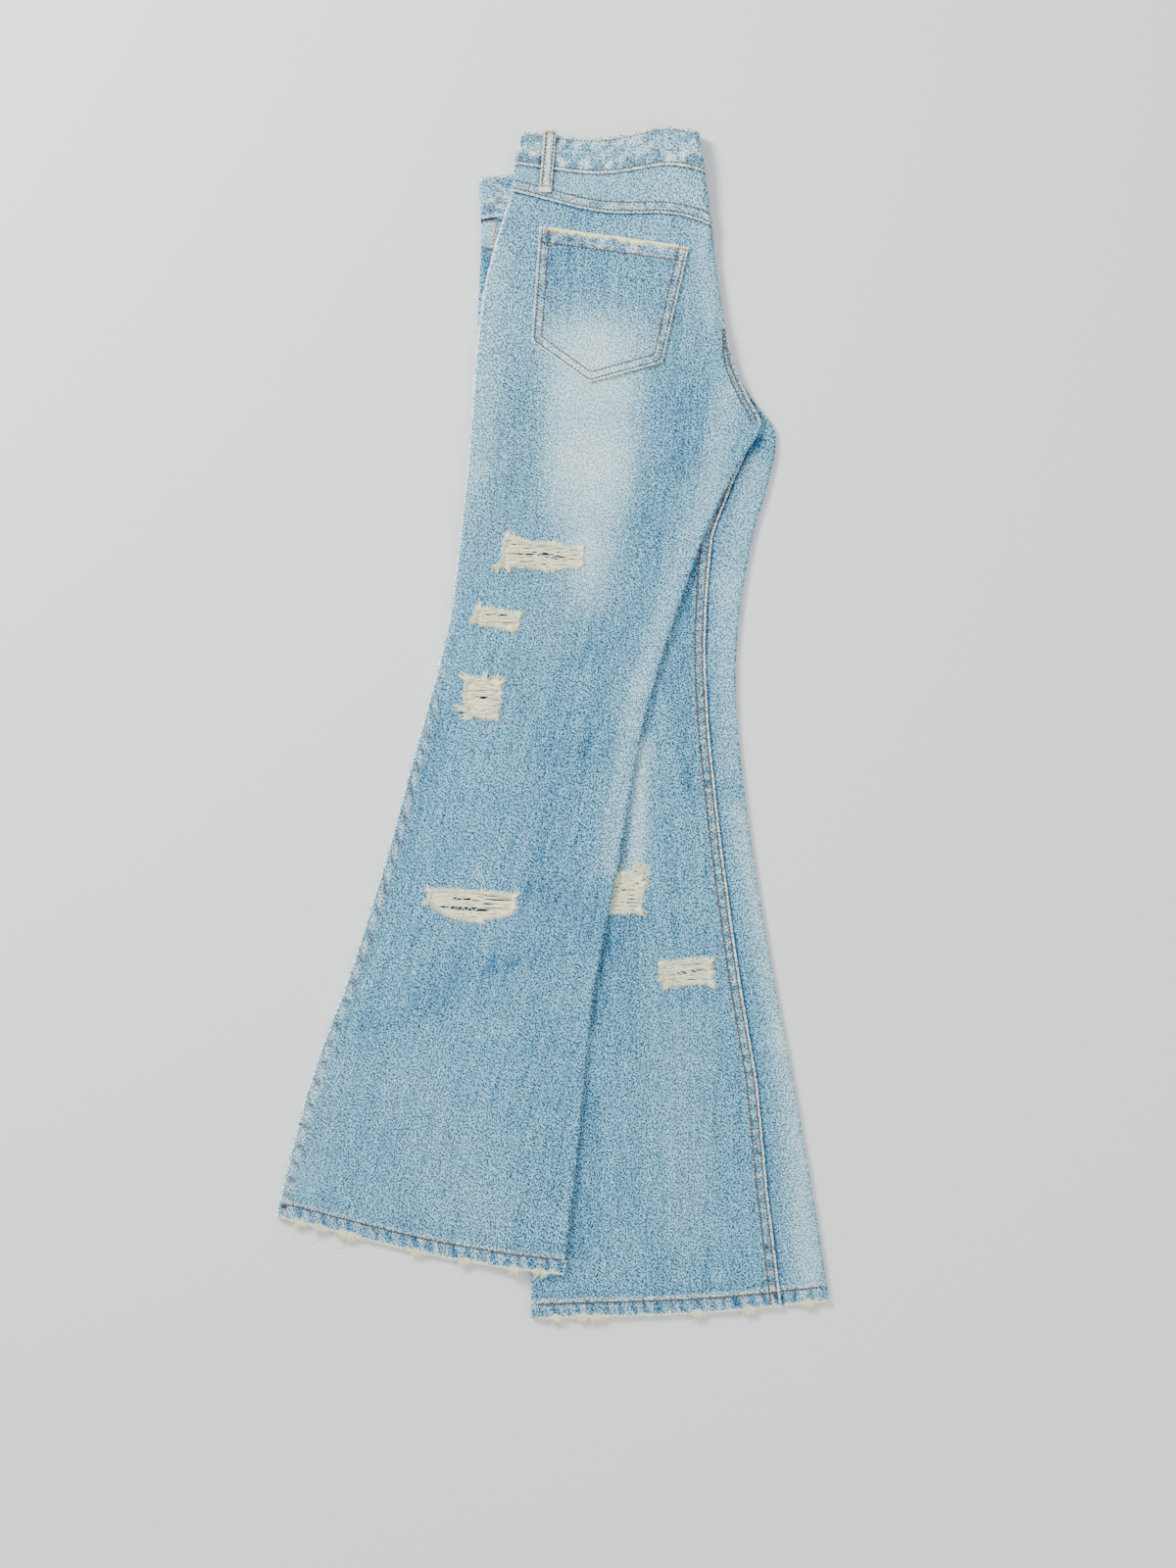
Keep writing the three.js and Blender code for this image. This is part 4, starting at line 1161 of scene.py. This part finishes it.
def belt_loop(side_name):
    """The left back loop lies on the band and the yoke, and the right one is its twin underneath"""
    down, side = np.meshgrid(np.linspace(0, 1, 40), np.linspace(-1, 1, 9), indexing="ij")
    middle = LOOP["x"] - LOOP["lean"] * down
    beside = side * LOOP["width"] / 2
    y = lerp(LOOP["top"], LOOP["foot"], down)
    below_waist = np.minimum(y, UPPER[0, 1])
    foot = smooth(down, 0.9, 0.93)
    if side_name == "left":
        station, inward, _ = locate(UPPER, middle + beside, below_waist)
        level = levels(UPPER, station, inward)[0] + half_wall(station)
        ridge = level.max(axis=1, keepdims=True)
        relief = 0.45 * foot + 0.25 * bell(np.abs(side) - 0.75, 0.3) - 0.2 * bell(side, 0.35)
        points = in_space(middle + beside, y, ridge + POCKET_LAY + LOOP_CLOTH / 2 + relief)
    else:
        under = twin_place(*locate(UPPER, middle, below_waist))
        points = in_space(under[..., 0] + beside, under[..., 1], 0 * y + LOOP_CLOTH / 2)
    up = 1.0 if side_name == "left" else -1.0
    worn = 0.9 * bell(np.abs(side) - 1, 0.14) + 0.5 * bell(side, 0.35) + 0.5 * foot + 0.2
    tones = {"fade_and_light": 0.5 + 0 * y, "dark_and_shade": 0.6 * bell(np.abs(side) - 0.62, 0.16), "worn": raised(worn)}
    cloth = np.stack([middle + beside, y, 0 * y], -1)
    trim_sheet(side_name + "_loop", side_name + "_belt_loop", points, up, cloth, tones, LOOP_CLOTH, 0.35)


left_back_leg()
right_back_leg()
right_front_leg()
left_front_leg()
yoke(UPPER, "left")
yoke(LOWER, "right")
waistband()
for side_name in ("left", "right"):
    pocket(side_name)
for side_name in ("left", "right"):
    belt_loop(side_name)


class Strands:
    """Gathers threads, each a thin tube along a path in millimetres, into one mesh"""

    def __init__(self):
        self.vertices = []
        self.faces = []

    def add(self, path, radius, sides=4, tips=(0.6, 0.6)):
        """A tube along a path, thinner at its two tips by these shares"""
        path = np.asarray(path, float)
        count = len(path)
        tangent = np.gradient(path, axis=0)
        tangent /= np.linalg.norm(tangent, axis=1, keepdims=True) + 1e-9
        side = np.cross(tangent, [0.0, 0.0, 1.0])
        weak = np.linalg.norm(side, axis=1) < 1e-3
        side[weak] = [1.0, 0.0, 0.0]
        side /= np.linalg.norm(side, axis=1, keepdims=True)
        lift = np.cross(side, tangent)
        widths = np.full(count, float(radius))
        widths[0] *= tips[0]
        widths[-1] *= tips[1]
        first = len(self.vertices)
        for corner in range(sides):
            angle = TURN * corner / sides
            ring = path + (side * math.cos(angle) + lift * math.sin(angle)) * widths[:, None]
            self.vertices.extend(ring.tolist())
        ends = [first + corner * count for corner in range(sides)]
        for corner in range(sides):
            here = first + corner * count
            beside = first + (corner + 1) % sides * count
            for step in range(count - 1):
                self.faces.append((here + step, here + step + 1, beside + step + 1, beside + step))
        self.faces.append(tuple(ends))
        self.faces.append(tuple(end + count - 1 for end in reversed(ends)))

    def build(self, name, finish, slot="denim"):
        mesh = bpy.data.meshes.new(name)
        vertices = [(x * MM, (y - CENTRE_Y) * MM, z * MM) for x, y, z in self.vertices]
        mesh.from_pydata(vertices, [], self.faces)
        mesh.materials.append(finish)
        mesh.validate()
        piece = bpy.data.objects.new(name, mesh)
        bpy.context.collection.objects.link(piece)
        select_only(piece)
        bpy.ops.object.mode_set(mode="EDIT")
        bpy.ops.mesh.select_all(action="SELECT")
        bpy.ops.mesh.normals_make_consistent(inside=False)
        bpy.ops.object.mode_set(mode="OBJECT")
        bpy.ops.object.shade_smooth()
        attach(piece, "root")


RAY_START = 60      # well above the jeans


def surface_height(name, x, y):
    """Height of a sheet's outer face over a plan point, or None past its edge"""
    hit = surfaces[name].ray_cast(Vector((x, y - CENTRE_Y, RAY_START)), Vector((0, 0, -1)))
    return None if hit[0] is None else hit[0].z


def laid(sheet, places, rises):
    """Points this much over a sheet at plan places, leaving out those past its edge"""
    path = []
    for (x, y), rise in zip(places, rises):
        height = surface_height(sheet, x, y)
        if height is not None:
            path.append((x, y, height + rise))
    return path


UPPER_SHEETS = ("left_back", "left_yoke", "waistband", "left_pocket", "left_loop")


def covered(x, y, height):
    """Whether the upper half lies over a point of the lower one"""
    over = [surface_height(name, x, y) for name in UPPER_SHEETS]
    return any(value is not None and value > height + 1.0 for value in over)


def resample(path, spacing):
    """Points evenly spaced along a path"""
    path = np.asarray(path, float)
    lengths = lengths_along(path)
    count = max(2, int(lengths[-1] / spacing))
    places = np.linspace(0, lengths[-1], count + 1)
    return np.stack([np.interp(places, lengths, path[:, axis]) for axis in range(path.shape[1])], -1)


# Topstitches: length, radius of a plain, a fine, a leg seam's and a hem's thread, and how each one dips
STITCH = 3.3
THREAD_RADIUS, FINE_THREAD, SEAM_THREAD, HEM_THREAD = 0.72, 0.5, 0.85, 0.95
STITCH_SHARES = (0.06, 0.3, 0.7, 0.9)
STITCH_RISES = (-0.35, 0.1, 0.1, -0.35)

# How far the other rows lie from their seam or edge
YOKE_ROWS = (3.0, 10.5)
INSEAM_ROWS = (3.0, 10.0)
SEAT_ROWS = (4.0, 9.0)
BAND_FOOT_ROW, BAND_TOP_ROW = 3.4, 3.6
HEM_ROW_HEIGHT = HEM_DEPTH - 1.5

# The right back panel shows at the lower hem from this share of the hem's width on
LOWER_INSEAM_SHARE = 0.845


def stitch_row(strands, path, sheet, hidden_by_upper=False, radius=THREAD_RADIUS):
    """Topstitches along a plan path: each a short thread that dips into the cloth at both ends"""
    fine = resample(path, STITCH)
    for start, end in zip(fine, fine[1:]):
        thread = laid(sheet, [lerp(start, end, share) for share in STITCH_SHARES], STITCH_RISES)
        if len(thread) < len(STITCH_SHARES):
            continue
        x, y, height = thread[1]
        if not (hidden_by_upper and covered(x, y, height - STITCH_RISES[1])):
            strands.add(thread, radius, 5)


def offset_path(path, distance):
    """A plan path moved to its left by a distance"""
    path = np.asarray(path, float)
    tangent = np.gradient(path, axis=0)
    tangent /= np.linalg.norm(tangent, axis=1, keepdims=True)
    return path + np.stack([-tangent[:, 1], tangent[:, 0]], -1) * distance


def station_path(half, station, first, last):
    """Plan path along a section, from one share of its length to another"""
    stations = np.full(60, float(station))
    length = section(half, stations)[2]
    return plan(half, stations, np.linspace(first, last, 60) * length)


def topstitching():
    strands = Strands()
    stitch_row(strands, offset_path(station_path(UPPER, BAND_SEAM, 0.01, 0.99), BAND_FOOT_ROW), "waistband")
    waist = offset_path(station_path(UPPER, 0, 0.01, 0.99), -BAND_TOP_ROW)
    stitch_row(strands, waist, "waistband", radius=FINE_THREAD)
    yoke_seam = station_path(UPPER, YOKE_SEAM, 0.0, 1.0)
    for distance in YOKE_ROWS:
        stitch_row(strands, offset_path(yoke_seam, distance), "left_yoke")
    for inset in POCKET_ROWS:
        stitch_row(strands, inset_corners(POCKET_CORNERS, inset), "left_pocket")
    stitch_row(strands, offset_path(resample(POCKET_TOP, 5), -POCKET_HEM), "left_pocket")
    hem_rows(strands)
    leg = np.linspace(7.3, HEM - 0.02, 160)
    ends = front_span(LOWER, leg)[1]
    for inset in INSEAM_ROWS:
        stitch_row(strands, plan(LOWER, leg, ends - inset), "right_front", True, SEAM_THREAD)
    seat = np.linspace(4.3, 6.85, 60)
    from_fold = smooth(seat, 3.8, 5.2)
    for inset in SEAT_ROWS:
        row = plan(UPPER, seat, section(UPPER, seat)[2] - inset * from_fold)
        stitch_row(strands, row, "left_back", radius=SEAM_THREAD)
    for side in (-0.62, 0.62):
        x = LOOP["x"] + side * LOOP["width"] / 2
        row = [(x, LOOP["top"] - 2), (x - LOOP["lean"] * 0.88, LOOP["foot"] + 7)]
        stitch_row(strands, row, "left_loop")
    strands.build("topstitches", STITCH_FINISH)


def inset_corners(corners, inset):
    """An open outline moved inwards, its corners mitred"""
    corners = np.array(corners, float)
    lines = []
    for start, end in zip(corners, corners[1:]):
        way = (end - start) / np.linalg.norm(end - start)
        normal = np.array([-way[1], way[0]])
        lines.append((start + normal * inset, way))
    moved = [lines[0][0] + lines[0][1] * 2]
    for (p, u), (q, v) in zip(lines, lines[1:]):
        reach = ((q - p)[0] * v[1] - (q - p)[1] * v[0]) / (u[0] * v[1] - u[1] * v[0])
        moved.append(p + u * reach)
    last_point, last_way = lines[-1]
    moved.append(last_point + last_way * (np.linalg.norm(corners[-1] - corners[-2]) - 2))
    return moved


def hem_path(half, rise, first, last):
    """Plan path that runs a distance above the hem's edge"""
    shares = np.linspace(first, last, 90)
    stations = np.full(90, float(HEM))
    length = section(half, stations)[2]
    step = hem_distance(half, stations - 1, shares * length, length)
    stations = HEM - rise / step
    return plan(half, stations, shares * section(half, stations)[2])


def hem_rows(strands):
    upper = hem_path(UPPER, HEM_ROW_HEIGHT, 0.015, 0.99)
    front = hem_path(LOWER, HEM_ROW_HEIGHT, 0.02, LOWER_INSEAM_SHARE - 0.01)
    back = hem_path(LOWER, HEM_ROW_HEIGHT, LOWER_INSEAM_SHARE, 0.985)
    stitch_row(strands, upper, "left_back", radius=HEM_THREAD)
    stitch_row(strands, front, "right_front", True, HEM_THREAD)
    stitch_row(strands, back, "right_back", True, HEM_THREAD)


# Bar tacks in plan, each with its sheet, and one row in pixels at the end of the right yoke
BAR_TACKS = [
    ((-8, 463.5), (4, 461.5), "left_pocket"), ((115, 447), (126, 445.5), "left_pocket"),
    ((-7.5, 554.5), (3, 554.5), "left_loop"), ((-12, 505), (-1.5, 505), "left_loop"),
]
TACK_STITCHES = 13
YOKE_END_TACK = [(506.5, 229), (503, 252)]


def bar_tacks():
    """Close zigzag stitches at the pocket's corners and the belt loop's ends"""
    strands = Strands()
    for start, end, sheet in BAR_TACKS:
        for step, share in enumerate(np.arange(TACK_STITCHES) / (TACK_STITCHES - 1)):
            x, y = lerp(start[0], end[0], share), lerp(start[1], end[1], share)
            height = surface_height(sheet, x, y)
            if height is None:
                continue
            lean = 0.5 if step % 2 else -0.5
            foot, top = (x - lean, y - 1.6, height - 0.2), (x + lean, y + 1.6, height - 0.2)
            strands.add([foot, (x, y, height + 0.3), top], 0.42, 4)
    stitch_row(strands, [from_pixel(*pixel) for pixel in YOKE_END_TACK], "right_yoke", True, radius=0.6)
    strands.build("bar_tacks", TACK_FINISH, "denim_band")


WEFT_SPACING = 0.68
CUT_END_SPACING = 0.4
CLUMP_THREADS = 20
CLUMP_WIDTH = 1.7


def rip_span(outline, y):
    """Left and right of an outline at a height"""
    crossings = []
    for (ax, ay), (bx, by) in zip(outline, np.roll(outline, -1, axis=0)):
        if (ay > y) != (by > y):
            crossings.append(ax + (y - ay) * (bx - ax) / (by - ay))
    return (min(crossings), max(crossings)) if crossings else None


def ragged(y, seed, low):
    """How much further some yarns run on past a rip's ends"""
    return max(0.0, noise.noise(Vector((y / 2.5, seed, low))))


def bunched(x, y, share):
    """Yarns gather in bunches between the two ends of a rip"""
    bunch = y / 4.1 + 1.1 * noise.noise(Vector((x / 16, y / 30, 5.0)))
    return y - 0.98 * (1 - (2 * share - 1) ** 4) * math.sin(TURN * bunch)


def parted(x, y, slits):
    """Yarns are pushed up or down where a slit stands open between them"""
    for ax, ay, bx, by, width in slits:
        along = (x - ax) / (bx - ax)
        if -0.25 < along < 1.25:
            middle = lerp(ay, by, along)
            opening = 1.5 * width * max(0.0, 1 - (2 * along - 1) ** 2 / 1.6)
            side = 1 if y > middle else -1
            y += side * opening / 2 * math.exp(-abs(y - middle) / 2.2)
    return y


def weft_path(sheet, y, left, right, slits, lift):
    """One weft yarn from one side of a rip to the other"""
    lean = random.uniform(-0.6, 0.6)
    phase = random.uniform(0, 50)
    path = []
    for x in np.linspace(left, right, max(4, int((right - left) / 4))):
        share = (x - left) / (right - left)
        wander = 0.5 * noise.noise(Vector((x / 9, phase, 0))) + lean * share
        place_y = parted(x, bunched(x, y + wander, share), slits)
        height = surface_height(sheet, x, place_y)
        if height is not None:
            path.append((x, place_y, height + random.uniform(-0.25, 0.35) + lift))
    return path


def rip_threads(rip, sheet, weft, warp, hidden):
    """Two layers of weft yarns left across a rip, then the cut ends of its warp and loose clumps"""
    outline = rip_outline(rip)
    slits = [(*from_pixel(x0, y0), *from_pixel(x1, y1), width) for x0, y0, x1, y1, width in rip["slits"]]
    low, high = outline[:, 1].min(), outline[:, 1].max()
    for layer in range(2):
        y = low - 0.6 + layer * WEFT_SPACING / 2
        while y < high + 0.6:
            y += WEFT_SPACING * random.uniform(0.8, 1.2)
            span = rip_span(outline, min(max(y, low + 0.4), high - 0.4))
            if span is None:
                continue
            left = span[0] - random.uniform(0.3, 1.6) - 4 * ragged(y, 1.0, low)
            right = span[1] + random.uniform(0.3, 1.6) + 4 * ragged(y, 9.0, low)
            path = weft_path(sheet, y, left, right, slits, 0.2 * layer)
            if len(path) > 2 and not (hidden and covered(*path[-1])):
                weft.add(path, random.uniform(0.27, 0.42), 4, (0.3, 0.3))
    cut_ends(outline, sheet, weft, warp, hidden)
    clumps(rip["frays"], sheet, weft, hidden)


def cut_ends(outline, sheet, weft, warp, hidden):
    """Short ends that stick out all round a rip, most of all from its long edges"""
    edge = resample(np.vstack([outline, outline[:1]]), CUT_END_SPACING)
    for start, end in zip(edge, edge[1:]):
        way = (end - start) / (np.linalg.norm(end - start) + 1e-9)
        level = abs(way[0])
        if random.random() > 0.45 + 0.55 * level:
            continue
        outward = np.array([way[1], -way[0]])
        probe = start + outward * 0.5
        if outline_distance(outline, np.array(probe[0]), np.array(probe[1]))[0] < 0:
            outward = -outward
        tuft = max(0.0, noise.noise(Vector((start[0] / 3.2, start[1] / 3.2, 11.0))))
        reach = random.uniform(1.0, 2.9) + 7.0 * tuft * random.uniform(0.4, 1) * (0.3 + 0.7 * level)
        root = start - outward * random.uniform(0.8, 2.6)
        lean = np.array([random.uniform(-0.5, 0.5), 0])
        tip = start + outward * reach + lean * reach
        middle = lerp(root, tip, 0.5) + np.array([random.uniform(-0.4, 0.4), 0])
        path = laid(sheet, (root, middle, tip), (0.4, 0.8, random.uniform(0.3, 0.8)))
        if len(path) == 3 and not (hidden and covered(*path[2])):
            bunch = weft if random.random() < 0.72 else warp
            bunch.add(path, random.uniform(0.3, 0.48), 3, (1.0, 0.3))


def clumps(frays, sheet, weft, hidden):
    """Loose ends that fan out from a few places of a rip"""
    for x0, y0, x1, y1 in frays:
        root, tip = np.array(from_pixel(x0, y0)), np.array(from_pixel(x1, y1))
        way = (tip - root) / np.linalg.norm(tip - root)
        side = np.array([-way[1], way[0]])
        for _ in range(CLUMP_THREADS):
            first = root - way * 2.0 + side * random.gauss(0, CLUMP_WIDTH)
            reach = np.linalg.norm(tip - root) * random.uniform(0.45, 1.1)
            last = root + way * reach + side * random.gauss(0, 0.6 + 0.16 * reach)
            bend = lerp(first, last, 0.55) + side * random.uniform(-0.9, 0.9)
            path = laid(sheet, (first, bend, last), (0.5, 1.2, 0.6))
            if len(path) == 3 and not (hidden and covered(*path[2])):
                weft.add(path, random.uniform(0.32, 0.5), 3, (1.0, 0.35))


def rip_yarns():
    weft, warp = Strands(), Strands()
    for rip in UPPER_RIPS.values():
        rip_threads(rip, "left_back", weft, warp, False)
    for rip in LOWER_RIPS.values():
        rip_threads(rip, "right_front", weft, warp, True)
    weft.build("weft_across_rips", WEFT_FINISH)
    warp.build("cut_warp_ends", WARP_FINISH)


# Fray along the hems: its spacing, and each hem's sheet with its clumps as shares of its width
HEM_FRAY_SPACING = 0.27
HEM_CLUMPS = (
    (UPPER, "left_back", (0.08, 0.15, 0.23, 0.26, 0.49, 0.66, 0.83, 0.92)),
    (LOWER, "right_front", (0.08, 0.17, 0.22, 0.56, 0.73, 0.93)),
)
POCKET_FRAY_THREADS = 1500


def hem_fray():
    """Worn white edge of both hems: short fuzz all along, and longer threads in clumps"""
    strands = Strands()
    for half, front, places in HEM_CLUMPS:
        length = float(section(half, np.array([float(HEM)]))[2][0])
        for _ in range(int(length / HEM_FRAY_SPACING)):
            share = random.uniform(0.005, 0.995)
            if random.random() < 0.4:
                share = random.choice(places) + random.gauss(0, 0.012)
            near = max(bell(share - place, 0.02) for place in places)
            sheet = "right_back" if half is LOWER and share > LOWER_INSEAM_SHARE else front
            rise = 1.4 + 3.2 * near * random.random()
            root = hem_path(half, rise, share, share)[0]
            edge = hem_path(half, 0.1, share, share)[0]
            height = surface_height(sheet, *root)
            if height is None or (half is LOWER and covered(root[0], root[1], height)):
                continue
            reach = random.uniform(0.3, 1.8) + near * random.uniform(0.5, 3.0) ** 1.9
            lean = random.uniform(-0.9, 0.9) * reach
            out = (edge - root) / (np.linalg.norm(edge - root) + 1e-9)
            tip = edge + out * reach + np.array([lean, 0])
            middle = lerp(root, tip, 0.6) + np.array([random.uniform(-0.3, 0.3), 0])
            drop = random.uniform(0.3, 1.4)
            path = [(*root, height + 0.1), (*middle, height - 0.1), (*tip, max(0.3, height - drop))]
            strands.add(path, random.uniform(0.22, 0.42), 3, (1.0, 0.35))
    strands.build("hem_fray", WEFT_FINISH)


def pocket_fray():
    """The pocket's worn top edge"""
    strands = Strands()
    start, end = np.array(POCKET_TOP, float)
    for _ in range(POCKET_FRAY_THREADS):
        share = random.uniform(0.06, 0.93)
        place = lerp(start, end, share)
        uneven = max(0.0, 0.25 + noise.noise(Vector((share * 22, 3.3, 0))))
        low = place + np.array([random.uniform(-0.8, 0.8), -random.uniform(0.4, 1.5 + 7 * uneven)])
        high = place + np.array([random.uniform(-1.2, 1.2), random.uniform(0.1, 1.6)])
        height = surface_height("left_pocket", *low)
        if height is None:
            continue
        beyond = surface_height("left_back", *high) or height
        path = [(*low, height + 0.15), (*lerp(low, high, 0.6), height + 0.35), (*high, beyond + 0.6)]
        strands.add(path, random.uniform(0.28, 0.48), 3, (0.5, 0.35))
    strands.build("pocket_fray", WEFT_FINISH)


# Loose threads, as paths in the photograph's pixels, each with the sheet it lies on or hangs over
LOOSE_THREADS = [
    ([(491, 906), (494, 898), (489, 890), (487, 882)], "left_back"),
    ([(655, 905), (662, 904), (668, 900)], "right_front"),
    ([(392, 905), (388, 897), (391, 890)], "left_back"),
    ([(634, 895), (632, 888), (637, 881), (646, 879), (653, 883), (653, 890), (646, 893), (640, 889)],
     "right_front"),
    ([(650, 898), (658, 895), (661, 888), (656, 881), (648, 882), (645, 889), (651, 893)], "right_front"),
    ([(640, 899), (646, 893), (655, 892), (662, 898), (660, 906), (654, 905)], "right_front"),
    ([(644, 896), (640, 889), (644, 884), (650, 886), (651, 892)], "right_front"),
    ([(513, 545), (519, 549), (527, 553)], "left_back"),
    ([(505, 585), (512, 580), (520, 577)], "left_back"),
    ([(312, 1250), (308, 1254), (304, 1256)], None),
    ([(330, 1255), (325, 1262), (318, 1268)], None),
    ([(362, 1264), (352, 1266), (347, 1272), (339, 1273)], None),
    ([(425, 1275), (428, 1279), (427, 1284)], None),
    ([(517, 1297), (522, 1300), (526, 1306)], None),
    ([(566, 1345), (568, 1349), (565, 1353)], None),
    ([(593, 1345), (600, 1347), (604, 1352)], None),
    ([(700, 1342), (706, 1346), (704, 1351)], None),
    ([(748, 1337), (752, 1341), (749, 1346)], None),
    ([(843, 1324), (848, 1328), (850, 1334)], None),
    ([(520, 180), (516, 183), (509, 184), (503, 187)], "waistband"),
]

# Tangle of curled threads over the rip at the upper leg's edge: its middle in pixels, and in millimetres
# how far it spreads and the least and greatest size of a curl
TANGLE = {"middle": (650, 887), "spread": (7.5, 4.5), "curl": (2.6, 6.0), "threads": 24}


def tangle(strands, sheet):
    middle = from_pixel(*TANGLE["middle"])
    for _ in range(TANGLE["threads"]):
        x, y = (random.gauss(place, spread / 1.6) for place, spread in zip(middle, TANGLE["spread"]))
        curl = random.uniform(*TANGLE["curl"])
        start = random.uniform(0, 6.3)
        angles = np.linspace(start, start + random.uniform(2.0, 4.4), 12)
        places = [(x + curl * math.cos(angle), y + 0.8 * curl * math.sin(angle)) for angle in angles]
        path = laid(sheet, places, [0.5 + 0.5 * math.sin(angle * 0.9 + start) for angle in angles])
        if len(path) > 4 and not covered(*path[len(path) // 2]):
            strands.add(path, random.uniform(0.27, 0.36), 4, (0.6, 0.4))


def loose_threads():
    strands = Strands()
    for pixels, sheet in LOOSE_THREADS:
        path = resample([from_pixel(*pixel) for pixel in pixels], 1.5)
        placed = []
        for step, (x, y) in enumerate(path):
            height = surface_height(sheet, x, y) if sheet else None
            off_cloth = 2.4 * (1 - step / len(path)) + 0.5
            placed.append((x, y, off_cloth if height is None else height + 0.4))
        strands.add(placed, 0.3, 4, (1.0, 0.4))
    tangle(strands, "right_front")
    strands.build("loose_threads", WEFT_FINISH)


topstitching()
bar_tacks()
rip_yarns()
hem_fray()
pocket_fray()
loose_threads()

# The hidden waist button keeps its solid and gets a tarnished finish
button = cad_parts["waist_button"]
for slot in button.material_slots:
    slot.material = metal_material("aged_metal")


def floor():
    bpy.ops.object.select_all(action="DESELECT")
    bpy.ops.mesh.primitive_plane_add(size=14, location=(0, 0, 0))
    plane = bpy.context.object
    plane.name = "floor"
    nodes = Nodes("pale_floor")
    shader = nodes.node("ShaderNodeBsdfPrincipled", {}, {
        "Base Color": (0.75, 0.75, 0.74, 1), "Roughness": 0.9, "Specular IOR Level": 0.2})
    plane.data.materials.append(nodes.finish(shader))


def light(name, width, energy, place):
    """A round soft lamp aimed at the middle of the jeans"""
    data = bpy.data.lights.new(name, "AREA")
    data.shape = "DISK"
    data.size = width
    data.energy = energy
    lamp = bpy.data.objects.new(name, data)
    bpy.context.collection.objects.link(lamp)
    lamp.location = place
    lamp.rotation_euler = (-Vector(place)).to_track_quat("-Z", "Y").to_euler()


def studio():
    floor()
    world = bpy.data.worlds.new("studio")
    bpy.context.scene.world = world
    world.use_nodes = True
    background = world.node_tree.nodes["Background"]
    background.inputs["Color"].default_value = (0.93, 0.96, 1.0, 1)
    background.inputs["Strength"].default_value = 0.99
    light("key", 0.9, 122, (-1.7, 1.5, 1.5))
    light("fill", 2.4, 29, (1.8, -1.2, 2.2))


# The photograph looks straight down on the jeans
CAMERA_HEIGHT = 2.2
FRAME_HEIGHT = FRAME_PIXELS[1] * PIXEL * MM
SENSOR = 36.0


def camera():
    data = bpy.data.cameras.new("camera")
    data.sensor_width = SENSOR
    data.sensor_fit = "AUTO"
    data.lens = SENSOR * CAMERA_HEIGHT / FRAME_HEIGHT
    eye = bpy.data.objects.new("camera", data)
    bpy.context.collection.objects.link(eye)
    middle_x, middle_y = from_pixel(FRAME_PIXELS[0] / 2, FRAME_PIXELS[1] / 2)
    eye.location = (middle_x * MM, (middle_y - CENTRE_Y) * MM, CAMERA_HEIGHT)
    bpy.context.scene.camera = eye


studio()
camera()
